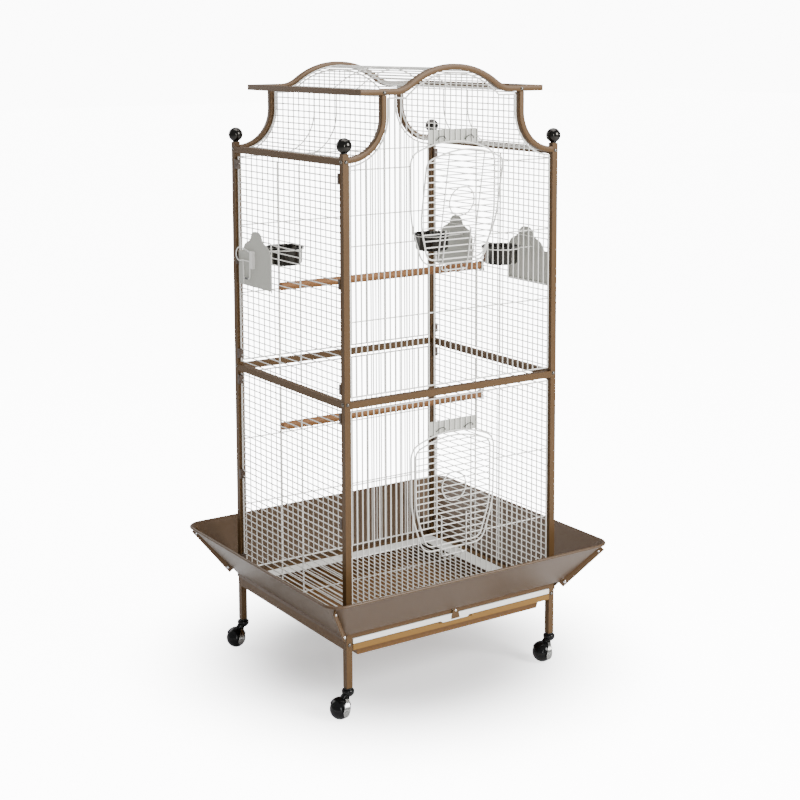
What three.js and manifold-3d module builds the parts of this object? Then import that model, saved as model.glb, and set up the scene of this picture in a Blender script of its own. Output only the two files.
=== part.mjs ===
// Pagoda-roofed bird cage on a castored stand.
// Millimetres, +Z up. The front, with its two doors, faces -Y, and +X is to the right seen from
// the front. The origin is on the floor, under the middle of the cage.
// Wire panels carry every BAR_STEP-th wire of the real panel, with square sections.
import * as THREE from 'three';
import { mergeVertices } from 'three/addons/utils/BufferGeometryUtils.js';
import Module from 'manifold-3d';

const wasm = await Module();
wasm.setup();

// ---- Driving dimensions -------------------------------------------------------------------
const GAP = 0.3;                 // clearance left between touching pieces
const POST_X = 305;              // post centres, left and right of the middle
const POST_Y = 259;              // post centres, in front of and behind the middle
const TUBE = 16;                 // square tube of posts, rails and legs
const WALL = 1.2;                // wall of every tube
const HALF = TUBE / 2;
const CASTER_H = 72;             // floor to the bottom of a leg
const LEG_TOP = 203.5;
const POST_TOP = 1330;
const MID_Z = 749;               // middle of the four middle rails
const TOP_RAIL_Z = 1311;         // middle of the two top side rails
const WIRE = 3;                  // panel wires
const EDGE = 4;                  // edge wires, seen face on
const PITCH = 15.94;             // wire spacing of the real panels
const BAR_STEP = 5;              // one wire in this many is made here
const ROWS_LOW = 33;             // wire spacings in a lower panel's height
const LOW_Z = 206;               // bottom wire of the lower panels
const UP_Z = 766;                // bottom wire of the upper panels
const BAND = 11 * PITCH;         // spacing of the cross wires of the front and back
const PANEL_X = 292;             // edge wires of the front and back panels
const PANEL_Y = 246;             // edge wires of the side panels
const MIDWIRE_Y = 52;            // the two full-height wires inside a side panel

// Pagoda profile, in the XZ plane.
const BAR = 14;                  // bent bars, seen from the front
const WING_Z = 1467;             // middle of the wing bar
const WING_X = 264;              // wing tips
const ARCH_R = 209;              // arch centre line
const ARCH_C = 1313;             // height of the arch's centre
const CURVE_R = 97;              // concave quarter curve, centre line
const CURVE_C = 1412;            // height of its centre, which is over the post's inner face
const POST_IN = POST_X - HALF;

// Doors.
const LOOP_Z = [356, 1056];      // bottom wire of each fixed door loop
const LOOP = [[88, 0, 28], [122, 100, 40], [123, 262, 26], [0, 308, 98],
  [-123, 262, 26], [-122, 100, 40], [-88, 0, 28]];
const DOOR_INSET = 12;           // the door's own loop lies this far inside the fixed one
const DOOR_Y = -260.3;           // middle of the door's wires, closed
const HINGE_Y = -263.1;          // hinge leg of the door's U wire
const HINGE_DROP = 15;           // the hinge leg is this far below the loop's bottom wire
const AJAR = 10.4;               // the upper door rests this many degrees open

// Feeder doors.
const FEED_Y = 150;              // middle of the plate, from the cage's middle
const FEED_Z = 969;              // bottom of the plate
const PLATE_T = 1.5;
const PLATE_X = 308.4;           // inner face of the plate
const CUP_IN = 77;               // cup's axis, inside of the side panel
const RING_Z = 1064;             // top of the wire ring

// Skirt: offset from the post faces and height, lower edge and rim.
const SKIRT_LOW = [1, 196];
const SKIRT_RIM = [96, 317];

// Casters.
const BALL_R = 25;
const STRAP_R = 28.4;            // middle of the strap that is bent round the ball
const TRAIL = 22;                // the ball's centre lies this far to the left of the stem
const AXLE_R = 3.8;              // level axle, along Y

// ---- Finishes -----------------------------------------------------------------------------
const finish = (color, roughness, metalness) =>
  new THREE.MeshStandardMaterial({ color, roughness, metalness });
const BRONZE = finish(0x8a6949, 0.45, 0.35);
const WHITE = finish(0xdedcd4, 0.5, 0.1);
const PLATE_GREY = finish(0xb9b9b0, 0.5, 0.1);
const TRAY_GOLD = finish(0xb08a48, 0.45, 0.3);
const PEWTER = finish(0x3c3a36, 0.2, 0.9);
const STEEL = finish(0xc8c8c4, 0.22, 1);
const CHROME = finish(0xd4d4d4, 0.12, 1);
const GLOSS_BLACK = finish(0x0c0c0d, 0.15, 0);
const BEECH = finish(0xbe7d46, 0.65, 0);

// ---- Solid helpers ------------------------------------------------------------------------
const cage = new THREE.Group();

function toSolid(geometry) {
  const bare = geometry.clone();
  bare.deleteAttribute('normal');
  bare.deleteAttribute('uv');
  const merged = mergeVertices(bare, 1e-4);
  return new wasm.Manifold(new wasm.Mesh({
    numProp: 3,
    vertProperties: new Float32Array(merged.attributes.position.array),
    triVerts: new Uint32Array(merged.index.array),
  }));
}

function toGeometry(solid) {
  const mesh = solid.getMesh();
  const geometry = new THREE.BufferGeometry();
  geometry.setAttribute('position', new THREE.BufferAttribute(mesh.vertProperties, 3));
  geometry.setIndex(new THREE.BufferAttribute(mesh.triVerts, 1));
  geometry.computeVertexNormals();
  return geometry;
}

const join = (solids) => solids.reduce((all, next) => all.add(next));

function place(name, shape, material) {
  const geometry = shape.isBufferGeometry ? shape : toGeometry(shape);
  const mesh = new THREE.Mesh(geometry, material);
  mesh.name = name;
  cage.add(mesh);
  return mesh;
}

// A box between two corners, as a geometry and as a solid.
function boxGeometry(x0, x1, y0, y1, z0, z1) {
  return new THREE.BoxGeometry(x1 - x0, y1 - y0, z1 - z0)
    .translate((x0 + x1) / 2, (y0 + y1) / 2, (z0 + z1) / 2);
}
const block = (...corners) => toSolid(boxGeometry(...corners));

// A shape drawn in XZ and carried along Y, from y0 to y1.
function slabGeometry(shape, y0, y1, curveSegments = 4) {
  return new THREE.ExtrudeGeometry(shape, { depth: y1 - y0, bevelEnabled: false, curveSegments })
    .rotateX(Math.PI / 2)
    .translate(0, y1, 0);
}
const slab = (shape, y0, y1, segments) => toSolid(slabGeometry(shape, y0, y1, segments));

// A square tube with open ends, centred on two of its axes and running from a to b on the third.
function tube(axis, a, b, u, v) {
  const shape = new THREE.Shape();
  const h = HALF;
  shape.moveTo(-h, -h).lineTo(h, -h).lineTo(h, h).lineTo(-h, h);
  const bore = new THREE.Path();
  const i = h - WALL;
  bore.moveTo(-i, -i).lineTo(-i, i).lineTo(i, i).lineTo(i, -i);
  shape.holes.push(bore);
  const geometry = new THREE.ExtrudeGeometry(shape, { depth: b - a, bevelEnabled: false });
  if (axis === 'x') return geometry.rotateY(Math.PI / 2).translate(a, u, v);
  if (axis === 'y') return geometry.rotateX(Math.PI / 2).translate(u, b, v);
  return geometry.translate(u, v, a);
}

// The band of a given half width around a line of points, as a Shape.
function band(points, halfWidth, extend = 0) {
  const last = points.length - 1;
  const direction = (i) => points[Math.min(i + 1, last)].clone()
    .sub(points[Math.max(i - 1, 0)]).normalize();
  const line = points.map((p) => p.clone());
  line[0].addScaledVector(direction(0), -extend);
  line[last].addScaledVector(direction(last), extend);
  const side = (sign) => line.map((p, i) => {
    const d = direction(i);
    return new THREE.Vector2(p.x - sign * halfWidth * d.y, p.y + sign * halfWidth * d.x);
  });
  return new THREE.Shape([...side(-1), ...side(1).reverse()]);
}

// A bent square tube in an XZ plane, hollow from end to end.
function bentTube(points, y0, y1) {
  const outside = slab(band(points, BAR / 2), y0, y1);
  const inside = slab(band(points, BAR / 2 - WALL, 1), y0 + WALL, y1 - WALL);
  return outside.subtract(inside);
}

// A closed outline whose corners [x, z, cut] are rounded by a curve that starts cut mm away.
function roundedShape(corners) {
  const shape = new THREE.Shape();
  corners.forEach(([x, z, cut], i) => {
    const [px, pz] = corners[(i + corners.length - 1) % corners.length];
    const [nx, nz] = corners[(i + 1) % corners.length];
    const before = Math.hypot(px - x, pz - z);
    const after = Math.hypot(nx - x, nz - z);
    const start = [x + (px - x) * cut / before, z + (pz - z) * cut / before];
    if (i === 0) shape.moveTo(...start);
    else shape.lineTo(...start);
    shape.quadraticCurveTo(x, z, x + (nx - x) * cut / after, z + (nz - z) * cut / after);
  });
  return shape;
}

// The same corners moved inwards by d. They run anticlockwise.
function inset(corners, d) {
  return corners.map(([x, z, cut], i) => {
    const [px, pz] = corners[(i + corners.length - 1) % corners.length];
    const [nx, nz] = corners[(i + 1) % corners.length];
    const a = new THREE.Vector2(x - px, z - pz).normalize();
    const b = new THREE.Vector2(nx - x, nz - z).normalize();
    const inwards = new THREE.Vector2(-a.y - b.y, a.x + b.x);
    inwards.multiplyScalar(d / (1 + a.dot(b)));
    return [x + inwards.x, z + inwards.y, cut - d * 0.7];
  });
}

const lift = (corners, z0) => corners.map(([x, z, cut]) => [x, z + z0, cut]);

// ---- Posts, rails and the pagoda frame ----------------------------------------------------
const SIDES = [['left', -1], ['right', 1]];
const ENDS = [['front', -1], ['back', 1]];

for (const [end, sy] of ENDS) {
  for (const [side, sx] of SIDES) {
    place(`${end}_${side}_post`, tube('z', LEG_TOP + GAP, POST_TOP, sx * POST_X, sy * POST_Y), BRONZE);
  }
  const reach = POST_IN - GAP;
  place(`${end}_middle_rail`, tube('x', -reach, reach, sy * POST_Y, MID_Z), BRONZE);
}
for (const [side, sx] of SIDES) {
  const reach = POST_Y - HALF - GAP;
  place(`${side}_middle_rail`, tube('y', -reach, reach, sx * POST_X, MID_Z), BRONZE);
  place(`${side}_top_rail`, tube('y', -reach, reach, sx * POST_X, TOP_RAIL_Z), BRONZE);
  const wingTip = boxGeometry(-BAR / 2, BAR / 2, -reach, reach, -BAR / 2, BAR / 2);
  wingTip.translate(sx * (WING_X - BAR / 2), 0, WING_Z);
  place(`${side}_shoulder_rail`, wingTip, BRONZE);
}

// The wing bar: level wings that sweep up into an arch. down moves the whole line towards the
// cage, and reach is where its level ends stop.
function wingLine(down, reach, divisions) {
  const r = ARCH_R - down;
  const level = WING_Z - down;
  const join_x = 123;
  const join_z = ARCH_C + Math.sqrt(r * r - join_x * join_x);
  const control = join_x + (join_z - level) * (join_z - ARCH_C) / join_x;
  const start = control + Math.hypot(control - join_x, join_z - level);
  const angle = Math.atan2(join_z - ARCH_C, join_x);
  const path = new THREE.Path();
  path.moveTo(-reach, level);
  path.lineTo(-start, level);
  path.quadraticCurveTo(-control, level, -join_x, join_z);
  path.absarc(0, ARCH_C, r, Math.PI - angle, angle, true);
  path.quadraticCurveTo(control, level, start, level);
  path.lineTo(reach, level);
  return path.getPoints(divisions);
}

// The concave bar: from the post's inner face, through a quarter circle, up to the wing.
function curveLine(sx, down, top) {
  const r = CURVE_R + down;
  const path = new THREE.Path();
  const steps = 7;
  path.moveTo(sx * (POST_IN - GAP), CURVE_C - r);
  path.lineTo(sx * (POST_IN - 3), CURVE_C - r);
  for (let i = 1; i <= steps; i += 1) {
    const angle = (Math.PI / 2) * i / steps;
    path.lineTo(sx * (POST_IN - r * Math.sin(angle)), CURVE_C - r * Math.cos(angle));
  }
  path.lineTo(sx * (POST_IN - r), top - 3);
  path.lineTo(sx * (POST_IN - r), top);
  return path.getPoints(1);
}

for (const [end, sy] of ENDS) {
  const y0 = sy * POST_Y - HALF;
  const y1 = sy * POST_Y + HALF;
  place(`${end}_arch_bar`, bentTube(wingLine(0, WING_X, 5), y0, y1), BRONZE);
  for (const [side, sx] of SIDES) {
    const line = curveLine(sx, 0, WING_Z - BAR / 2 - GAP);
    place(`${end}_${side}_curved_bar`, bentTube(line, y0, y1), BRONZE);
    const ball = new THREE.Path();
    ball.moveTo(0, POST_TOP + GAP);
    ball.lineTo(7, POST_TOP + GAP);
    ball.absarc(0, POST_TOP + 18.7, 18, -1.15, Math.PI / 2, false);
    const profile = ball.getPoints(5).filter((p, i, all) => i === 0 || p.distanceTo(all[i - 1]) > 0.01);
    profile[profile.length - 1].x = 0;
    const finial = new THREE.LatheGeometry(profile, 10).rotateX(Math.PI / 2);
    finial.translate(sx * POST_X, sy * POST_Y, 0);
    place(`${end}_${side}_ball_finial`, finial, PEWTER);
  }
}

// ---- Wire panels --------------------------------------------------------------------------
// Wire positions from first to last, about step apart, with both ends included.
function spread(first, last, step) {
  const count = Math.max(1, Math.round((last - first) / step));
  return Array.from({ length: count + 1 }, (_, i) => first + (last - first) * i / count);
}

// One wire position in BAR_STEP of those at the real pitch, chosen evenly about the middle.
function kept(first, last) {
  const all = spread(first, last, PITCH);
  const spaces = all.length - 1;
  let steps = Math.floor(spaces / BAR_STEP);
  if ((spaces - steps * BAR_STEP) % 2) steps -= 1;
  const lead = (spaces - steps * BAR_STEP) / 2;
  return all.filter((_, i) => i >= lead && (i - lead) % BAR_STEP === 0 && i <= spaces - lead);
}

// The inside line of the pagoda frame, in from its faces by d, above the height base.
function gableShape(d, base, halfX) {
  const r = CURVE_R + BAR / 2 + d;
  const wing = WING_Z - BAR / 2 - d;
  const archR = ARCH_R - BAR / 2 - d;
  const archX = Math.sqrt(archR ** 2 - (wing - ARCH_C) ** 2);
  const first = Math.asin((POST_IN - halfX) / r);
  const side = [];
  for (let i = 0; i <= 6; i += 1) {
    const angle = first + (Math.PI / 2 - first) * i / 6;
    side.push([POST_IN - r * Math.sin(angle), CURVE_C - r * Math.cos(angle)]);
  }
  side.push([POST_IN - r, wing], [archX, wing]);
  const arch = [];
  const low = Math.asin((wing - ARCH_C) / archR);
  for (let i = 1; i < 10; i += 1) {
    const angle = low + (Math.PI - 2 * low) * i / 10;
    arch.push([archR * Math.cos(angle), ARCH_C + archR * Math.sin(angle)]);
  }
  const mirrored = side.map(([x, z]) => [-x, z]).reverse();
  const points = [[halfX, base], ...side, ...arch, ...mirrored, [-halfX, base]];
  return new THREE.Shape(points.map(([x, z]) => new THREE.Vector2(x, z)));
}

// A front or back panel: upright wires, cross wires at the given heights, an edge wire all
// round, and for an upper panel the gable that follows the pagoda frame.
function endPanel(y, z0, crossings, gabled, loopZ) {
  const y0 = y - WIRE / 2;
  const y1 = y + WIRE / 2;
  const half = EDGE / 2;
  const top = crossings[crossings.length - 1];
  const outer = gabled ? gableShape(6, z0 - half, PANEL_X + half)
    : new THREE.Shape([[-1, -1], [1, -1], [1, 1], [-1, 1]].map(([sx, sz]) =>
      new THREE.Vector2(sx * (PANEL_X + half), sz < 0 ? z0 - half : top + half)));
  const inner = gabled ? gableShape(6 + WIRE, z0 + half, PANEL_X - half)
    : new THREE.Shape([[-1, -1], [1, -1], [1, 1], [-1, 1]].map(([sx, sz]) =>
      new THREE.Vector2(sx * (PANEL_X - half), sz < 0 ? z0 + half : top - half)));
  const whole = slab(outer, y0, y1);
  const frame = whole.subtract(slab(inner, y0 - 1, y1 + 1));
  const uprights = kept(-PANEL_X, PANEL_X)
    .map((x) => block(x - WIRE / 2, x + WIRE / 2, y0, y1, z0, 1550));
  const bars = crossings.slice(1, gabled ? undefined : -1)
    .map((z) => block(-PANEL_X, PANEL_X, y0, y1, z - WIRE / 2, z + WIRE / 2));
  let panel = join([...uprights, ...bars]).intersect(whole).add(frame);
  if (loopZ) {
    const loop = lift(LOOP, loopZ);
    const opening = slab(roundedShape(inset(loop, WIRE / 2)), y0 - 1, y1 + 1);
    const ring = slab(roundedShape(inset(loop, -WIRE / 2)), y0, y1);
    panel = panel.add(ring).subtract(opening);
    panel = panel.add(block(-70, 70, y1 - 0.2, y1 + 1.3, loopZ + 272, loopZ + 319));
  }
  return panel;
}

const lowBands = [0, 1, 2, 3].map((i) => LOW_Z + i * BAND);
const upBands = [0, 1, 2, 3].map((i) => UP_Z + i * BAND);
place('front_lower_panel', endPanel(-POST_Y, LOW_Z, lowBands, false, LOOP_Z[0]), WHITE);
place('front_upper_panel', endPanel(-POST_Y, UP_Z, upBands, true, LOOP_Z[1]), WHITE);
place('back_lower_panel', endPanel(POST_Y, LOW_Z, lowBands, false, 0), WHITE);
place('back_upper_panel', endPanel(POST_Y, UP_Z, upBands, true, 0), WHITE);

// A side panel: level wires between two edge wires, with two full-height wires between them.
// Each feeder hole, [y0, y1, z0, z1], is cut out and framed by wires.
function sidePanel(x, z0, z1, feederHoles) {
  const wire = (y0, y1, za, zb, depth = WIRE) => block(x - depth / 2, x + depth / 2, y0, y1, za, zb);
  const half = EDGE / 2;
  const reach = PANEL_Y + half;
  const uprights = [-PANEL_Y, -MIDWIRE_Y, MIDWIRE_Y, PANEL_Y]
    .map((y) => wire(y - half, y + half, z0 - half, z1 + half));
  const rows = [z0, ...kept(z0, z1), z1]
    .map((z) => wire(-reach + 0.2, reach - 0.2, z - WIRE / 2, z + WIRE / 2, WIRE - 0.4));
  let panel = join([...uprights, ...rows]);
  for (const [y0, y1, za, zb] of feederHoles) {
    const t = WIRE;
    const frame = wire(y0 - t, y1 + t, za - t, zb + t, WIRE - 0.2).subtract(
      block(x - t, x + t, y0, y1, za, zb));
    panel = panel.subtract(block(x - t, x + t, y0, y1, za, zb)).add(frame);
  }
  return panel;
}

const hole = (sy) => [Math.min(sy * 84, sy * 240), Math.max(sy * 84, sy * 240), 974, 1086];
const LOW_TOP = LOW_Z + ROWS_LOW * PITCH;
const UP_TOP = UP_Z + ROWS_LOW * PITCH;
place('left_lower_panel', sidePanel(-POST_X, LOW_Z, LOW_TOP, []), WHITE);
place('right_lower_panel', sidePanel(POST_X, LOW_Z, LOW_TOP, []), WHITE);
place('left_upper_panel', sidePanel(-POST_X, UP_Z, UP_TOP, [hole(1)]), WHITE);
place('right_upper_panel', sidePanel(POST_X, UP_Z, UP_TOP, [hole(1), hole(-1)]), WHITE);

// A roof panel: wires that follow the frame's line in XZ, joined by wires that run along Y.
function roofPanel(line, count) {
  const ribs = [-PANEL_Y, -MIDWIRE_Y, MIDWIRE_Y, PANEL_Y]
    .map((y) => slab(band(line, WIRE / 2), y - WIRE / 2, y + WIRE / 2));
  const path = new THREE.Path(line);
  const wires = Array.from({ length: count + 1 }, (_, i) => {
    const t = Math.min(Math.max(i / count, 0.004), 0.996);
    const p = path.getPointAt(t);
    const d = path.getTangentAt(t);
    const wire = boxGeometry(-WIRE / 2, WIRE / 2, -PANEL_Y, PANEL_Y, -WIRE / 2 + 0.2, WIRE / 2 - 0.2);
    return toSolid(wire.rotateY(-Math.atan2(d.y, d.x)).translate(p.x, 0, p.y));
  });
  return join([...ribs, ...wires]);
}

place('roof_top_panel', roofPanel(wingLine(4, 186, 3), 5), WHITE);
for (const [side, sx] of SIDES) {
  const line = curveLine(sx, 4, WING_Z - BAR / 2 - 3).slice(1);
  place(`${side}_roof_panel`, roofPanel(line, 3), WHITE);
}

// ---- Doors --------------------------------------------------------------------------------
// A wire door: its loop, level wires, two full-height wires, the round ring in the middle, and
// the U wire whose bottom leg is the hinge.
function doorSolid(loopZ) {
  const y0 = DOOR_Y - WIRE / 2;
  const y1 = DOOR_Y + WIRE / 2;
  const outline = inset(lift(LOOP, loopZ), DOOR_INSET);
  const whole = slab(roundedShape(inset(outline, -WIRE / 2)), y0, y1);
  const frame = whole.subtract(slab(roundedShape(inset(outline, WIRE / 2)), y0 - 1, y1 + 1));
  const rows = spread(loopZ + DOOR_INSET, loopZ + 276, PITCH * 4).slice(1, -1)
    .map((z) => block(-130, 130, y0, y1, z - WIRE / 2, z + WIRE / 2));
  const uprights = [-51, 51].map((x) => block(x - WIRE / 2, x + WIRE / 2, y0, y1, loopZ, loopZ + 300));
  const ring = new THREE.Shape().absarc(0, loopZ + 154, 37, 0, Math.PI * 2, false);
  ring.holes.push(new THREE.Path().absarc(0, loopZ + 154, 34, 0, Math.PI * 2, true));
  const hinge = loopZ - HINGE_DROP;
  const u = [[-38.5, hinge - 1.5], [38.5, hinge - 1.5], [38.5, loopZ + 84], [35.5, loopZ + 84],
    [35.5, hinge + 1.5], [-35.5, hinge + 1.5], [-35.5, loopZ + 84], [-38.5, loopZ + 84]];
  const bail = new THREE.Shape(u.map(([x, z]) => new THREE.Vector2(x, z)));
  const face = y0 + 0.2;
  return join([...rows, ...uprights]).intersect(whole).add(frame)
    .add(slab(ring, face - WIRE, face, 6)).add(slab(bail, face - WIRE, face));
}

place('lower_door', doorSolid(LOOP_Z[0]), WHITE);
const upperDoor = toGeometry(doorSolid(LOOP_Z[1]));
upperDoor.translate(0, -HINGE_Y, -(LOOP_Z[1] - HINGE_DROP));
upperDoor.rotateX(THREE.MathUtils.degToRad(AJAR));
upperDoor.translate(0, HINGE_Y, LOOP_Z[1] - HINGE_DROP);
place('upper_door', upperDoor, WHITE);

// ---- Feeder doors and cups ----------------------------------------------------------------
// Outline of the plate, from its middle, with a crest on top and a latch strip on one edge.
const CREST = [[73, 0], [73, 87], [60, 106], [38, 117], [31, 124], [14, 140], [-14, 140],
  [-31, 124], [-38, 117], [-60, 106], [-73, 87], [-73, 0]];
const STRIP = [[72, 0], [93, 0], [93, 86], [72, 86]];

// sx and sy tell which side wall and which end of it the feeder is on.
function feederPlate(sx, sy) {
  const outline = (points) => new THREE.Shape(points.map(([y, z]) =>
    new THREE.Vector2(sy * (FEED_Y + y), FEED_Z + z)));
  const sheet = (shape) => toSolid(new THREE.ExtrudeGeometry(shape, { depth: PLATE_T, bevelEnabled: false })
    .rotateX(Math.PI / 2).rotateZ(Math.PI / 2)
    .translate(sx > 0 ? PLATE_X : -PLATE_X - PLATE_T, 0, 0));
  const plate = sheet(outline(CREST)).add(sheet(outline(STRIP)));
  const ring = new THREE.Shape().absarc(0, 0, 48.8, 0, Math.PI * 2, false);
  ring.holes.push(new THREE.Path().absarc(0, 0, 46, 0, Math.PI * 2, true));
  const depth = WIRE;
  const hoop = toSolid(new THREE.ExtrudeGeometry(ring, { depth, bevelEnabled: false, curveSegments: 8 })
    .translate(sx * (POST_X - CUP_IN), sy * FEED_Y, RING_Z - WIRE));
  const near = sx * (POST_X - CUP_IN + 36);
  const far = sx * (PLATE_X + 0.5);
  const arms = [-30, 30].map((dy) => block(Math.min(near, far), Math.max(near, far),
    sy * FEED_Y + dy - 1.5, sy * FEED_Y + dy + 1.5, RING_Z - WIRE, RING_Z));
  return join([plate, hoop, ...arms]);
}

function cupGeometry(sx, sy) {
  const z = RING_Z + GAP;
  const profile = [[0, z - 42], [38, z - 42], [43.5, z - 36], [44.6, z], [49, z], [49.5, z + 3],
    [46, z + 4], [43.4, z + 2], [42.3, z - 35], [37.4, z - 40.6], [0, z - 40.6]];
  return new THREE.LatheGeometry(profile.map(([r, h]) => new THREE.Vector2(r, h)), 16)
    .rotateX(Math.PI / 2)
    .translate(sx * (POST_X - CUP_IN), sy * FEED_Y, 0);
}

const FEEDERS = [['left', -1, 1], ['back_right', 1, 1], ['front_right', 1, -1]];
for (const [name, sx, sy] of FEEDERS) {
  place(`${name}_feeder_door`, feederPlate(sx, sy), PLATE_GREY);
  place(`${name}_feeder_cup`, cupGeometry(sx, sy), STEEL);
}

// ---- Perches ------------------------------------------------------------------------------
const PERCH_Y = 40;
for (const [name, z] of [['upper_perch', 987], ['lower_perch', 637]]) {
  const dowel = new THREE.CylinderGeometry(10, 10, 606, 12).rotateZ(Math.PI / 2);
  place(name, dowel.translate(0, PERCH_Y, z), BEECH);
}

// ---- Seed skirt ---------------------------------------------------------------------------
// A profile of [offset, height] points carried along one side, with ends mitred at 45 degrees.
function mitred(profile, halfLength, halfDepth) {
  const shape = new THREE.Shape(profile.map(([o, z]) => new THREE.Vector2(o, z)));
  const geometry = new THREE.ExtrudeGeometry(shape, { depth: 1, bevelEnabled: false });
  const p = geometry.attributes.position;
  for (let i = 0; i < p.count; i += 1) {
    const o = p.getX(i);
    const along = (1 - 2 * p.getZ(i)) * (halfLength + o - GAP);
    p.setXYZ(i, along, -(halfDepth + o), p.getY(i));
  }
  return geometry;
}

function skirtProfile(cut) {
  const [o0, z0] = SKIRT_LOW;
  const [o1, z1] = SKIRT_RIM;
  const slope = (o1 - o0) / (z1 - z0);
  const low = [o0 + slope * (cut - z0), cut];
  return [[low[0] + 1.2, low[1] - 1], [o1 + 2.5, z1 - 3], [o1 + 7.5, z1 - 2], [o1 + 8, z1 + 2],
    [o1 + 5, z1 + 4], [o1 + 1.5, z1 + 3], [o1, z1], low];
}

const FACE_X = POST_X + HALF;
const FACE_Y = POST_Y + HALF;
place('front_skirt', mitred(skirtProfile(205), FACE_X, FACE_Y), BRONZE);
place('back_skirt', mitred(skirtProfile(205), FACE_X, FACE_Y).rotateZ(Math.PI), BRONZE);
place('left_skirt', mitred(skirtProfile(196), FACE_Y, FACE_X).rotateZ(-Math.PI / 2), BRONZE);
place('right_skirt', mitred(skirtProfile(196), FACE_Y, FACE_X).rotateZ(Math.PI / 2), BRONZE);

// ---- Stand --------------------------------------------------------------------------------
// Four legs, side and back rails, a thin front rail over the drawers, and drawer runners.
const RAIL = [164, 191];
const legs = SIDES.flatMap(([, sx]) => ENDS.map(([, sy]) =>
  toSolid(tube('z', CASTER_H, LEG_TOP, sx * POST_X, sy * POST_Y))));
const inside = POST_X - HALF;
const railY = POST_Y - HALF + 0.5;
const sideRails = SIDES.flatMap(([, sx]) => {
  const span = (a, b) => [Math.min(sx * a, sx * b), Math.max(sx * a, sx * b)];
  const runner = (z) => block(...span(284, inside + 0.5), -railY, railY, z, z + 1.5);
  return [block(...span(inside, FACE_X), -railY, railY, ...RAIL), runner(172), runner(187)];
});
const backRail = block(-inside - 0.5, inside + 0.5, FACE_Y - TUBE, FACE_Y, ...RAIL);
const frontRail = block(-inside - 0.5, inside + 0.5, -FACE_Y, -FACE_Y + 12, 193.5, LEG_TOP);
place('stand_frame', join([...legs, ...sideRails, backRail, frontRail]), BRONZE);

// ---- Grille drawer, debris tray and latch -------------------------------------------------
const DRAWER_X = 295.5;
const grilleY = [-(POST_Y + HALF) - 0.4, POST_Y - HALF - 3];
const sheetZ = [189, 190.5];

// A level frame in XY: a plate from z0 to z1 with one large hole, [x0, x1, y0, y1].
const levelFrame = (halfX, y0, y1, opening, z0, z1) => block(-halfX, halfX, y0, y1, z0, z1)
  .subtract(block(...opening, z0 - 1, z1 + 1));

const well = [-248, 248, -225, 205];
const floorWires = [
  ...kept(well[0], well[1]).map((x) => block(x - WIRE / 2, x + WIRE / 2,
    well[2] - 1, well[3] + 1, sheetZ[0] - 1, sheetZ[1] - 0.2)),
  ...[-74, 70].map((y) => block(well[0] - 1, well[1] + 1,
    y - WIRE / 2, y + WIRE / 2, sheetZ[0] + 0.2, sheetZ[1] + 1)),
];
const strip = [[-DRAWER_X, 179.5], [-45, 179.5], [-38, 174.5], [38, 174.5], [45, 179.5],
  [DRAWER_X, 179.5], [DRAWER_X, 192], [7, 192], [7, 205], [-7, 205], [-7, 192], [-DRAWER_X, 192]];
const stripShape = new THREE.Shape(strip.map(([x, z]) => new THREE.Vector2(x, z)));
const faceY = grilleY[0] - 1.5;
const latchHole = new THREE.Path().absarc(0, 199, 2.6, 0, Math.PI * 2, true);
stripShape.holes.push(latchHole);
place('grille_drawer_front', slab(stripShape, faceY, grilleY[0], 3), WHITE);
const apron = levelFrame(DRAWER_X - 1, grilleY[0] + GAP, grilleY[1], well, ...sheetZ);
place('floor_grille', join([apron, ...floorWires]), WHITE);

// The tray: a shallow pan with sloping ends, hung from a flange that slides on the lower runners.
const PAN_Z = [141, 175];
const panEnd = [271, 283];        // half length of the pan at its bottom and at its top
const panY = [-247, 246];
const panSlab = (inward, z0, z1, y0, y1) => {
  const half = (z) => panEnd[0] + (panEnd[1] - panEnd[0]) * (z - PAN_Z[0]) / (PAN_Z[1] - PAN_Z[0])
    - inward;
  const outline = [[-half(z0), z0], [half(z0), z0], [half(z1), z1], [-half(z1), z1]];
  return slab(new THREE.Shape(outline.map(([x, z]) => new THREE.Vector2(x, z))), y0, y1);
};
const flange = levelFrame(DRAWER_X - 1, grilleY[0] - 0.2, grilleY[1],
  [1 - panEnd[1], panEnd[1] - 1, ...panY], 174.2, 175.7)
  .subtract(block(-50, 50, grilleY[0] - 1, grilleY[0] + GAP, 174, 176));
const pan = panSlab(0, ...PAN_Z, panY[0] - 1.5, panY[1] + 1.5)
  .subtract(panSlab(1.5, PAN_Z[0] + 1.5, PAN_Z[1] + 5, ...panY));
const trayFront = block(-DRAWER_X, DRAWER_X, faceY, grilleY[0], 164, 174)
  .add(block(-DRAWER_X, DRAWER_X, faceY, grilleY[0], 173.5, 178)
    .subtract(block(-50, 50, faceY - 1, grilleY[0] + 1, 173, 179)));
place('debris_tray', join([flange, pan, trayFront]), TRAY_GOLD);

// The swivel tab turns on a screw through the raised ear of the grille drawer's front.
const tab = new THREE.Shape([[-7, 204], [7, 204], [10, 179], [-10, 179]]
  .map(([x, z]) => new THREE.Vector2(x, z)));
const tabY = faceY - GAP;
const tabSolid = slab(tab, tabY - 1.5, tabY, 1);
const stud = toSolid(new THREE.CylinderGeometry(1.9, 1.9, 3.4, 8).translate(0, tabY + 0.2, 199));
const head = toSolid(new THREE.CylinderGeometry(3.6, 3.6, 1.8, 10).translate(0, tabY - 2.3, 199));
place('drawer_latch', join([tabSolid, stud, head]), BRONZE);

// ---- Casters ------------------------------------------------------------------------------
// The ball's flat facets are turned so that one of them lies on the floor.
const facet = Math.cos(Math.PI / 16) * Math.cos(Math.PI / 18);
const ballOut = BALL_R / facet;

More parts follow.
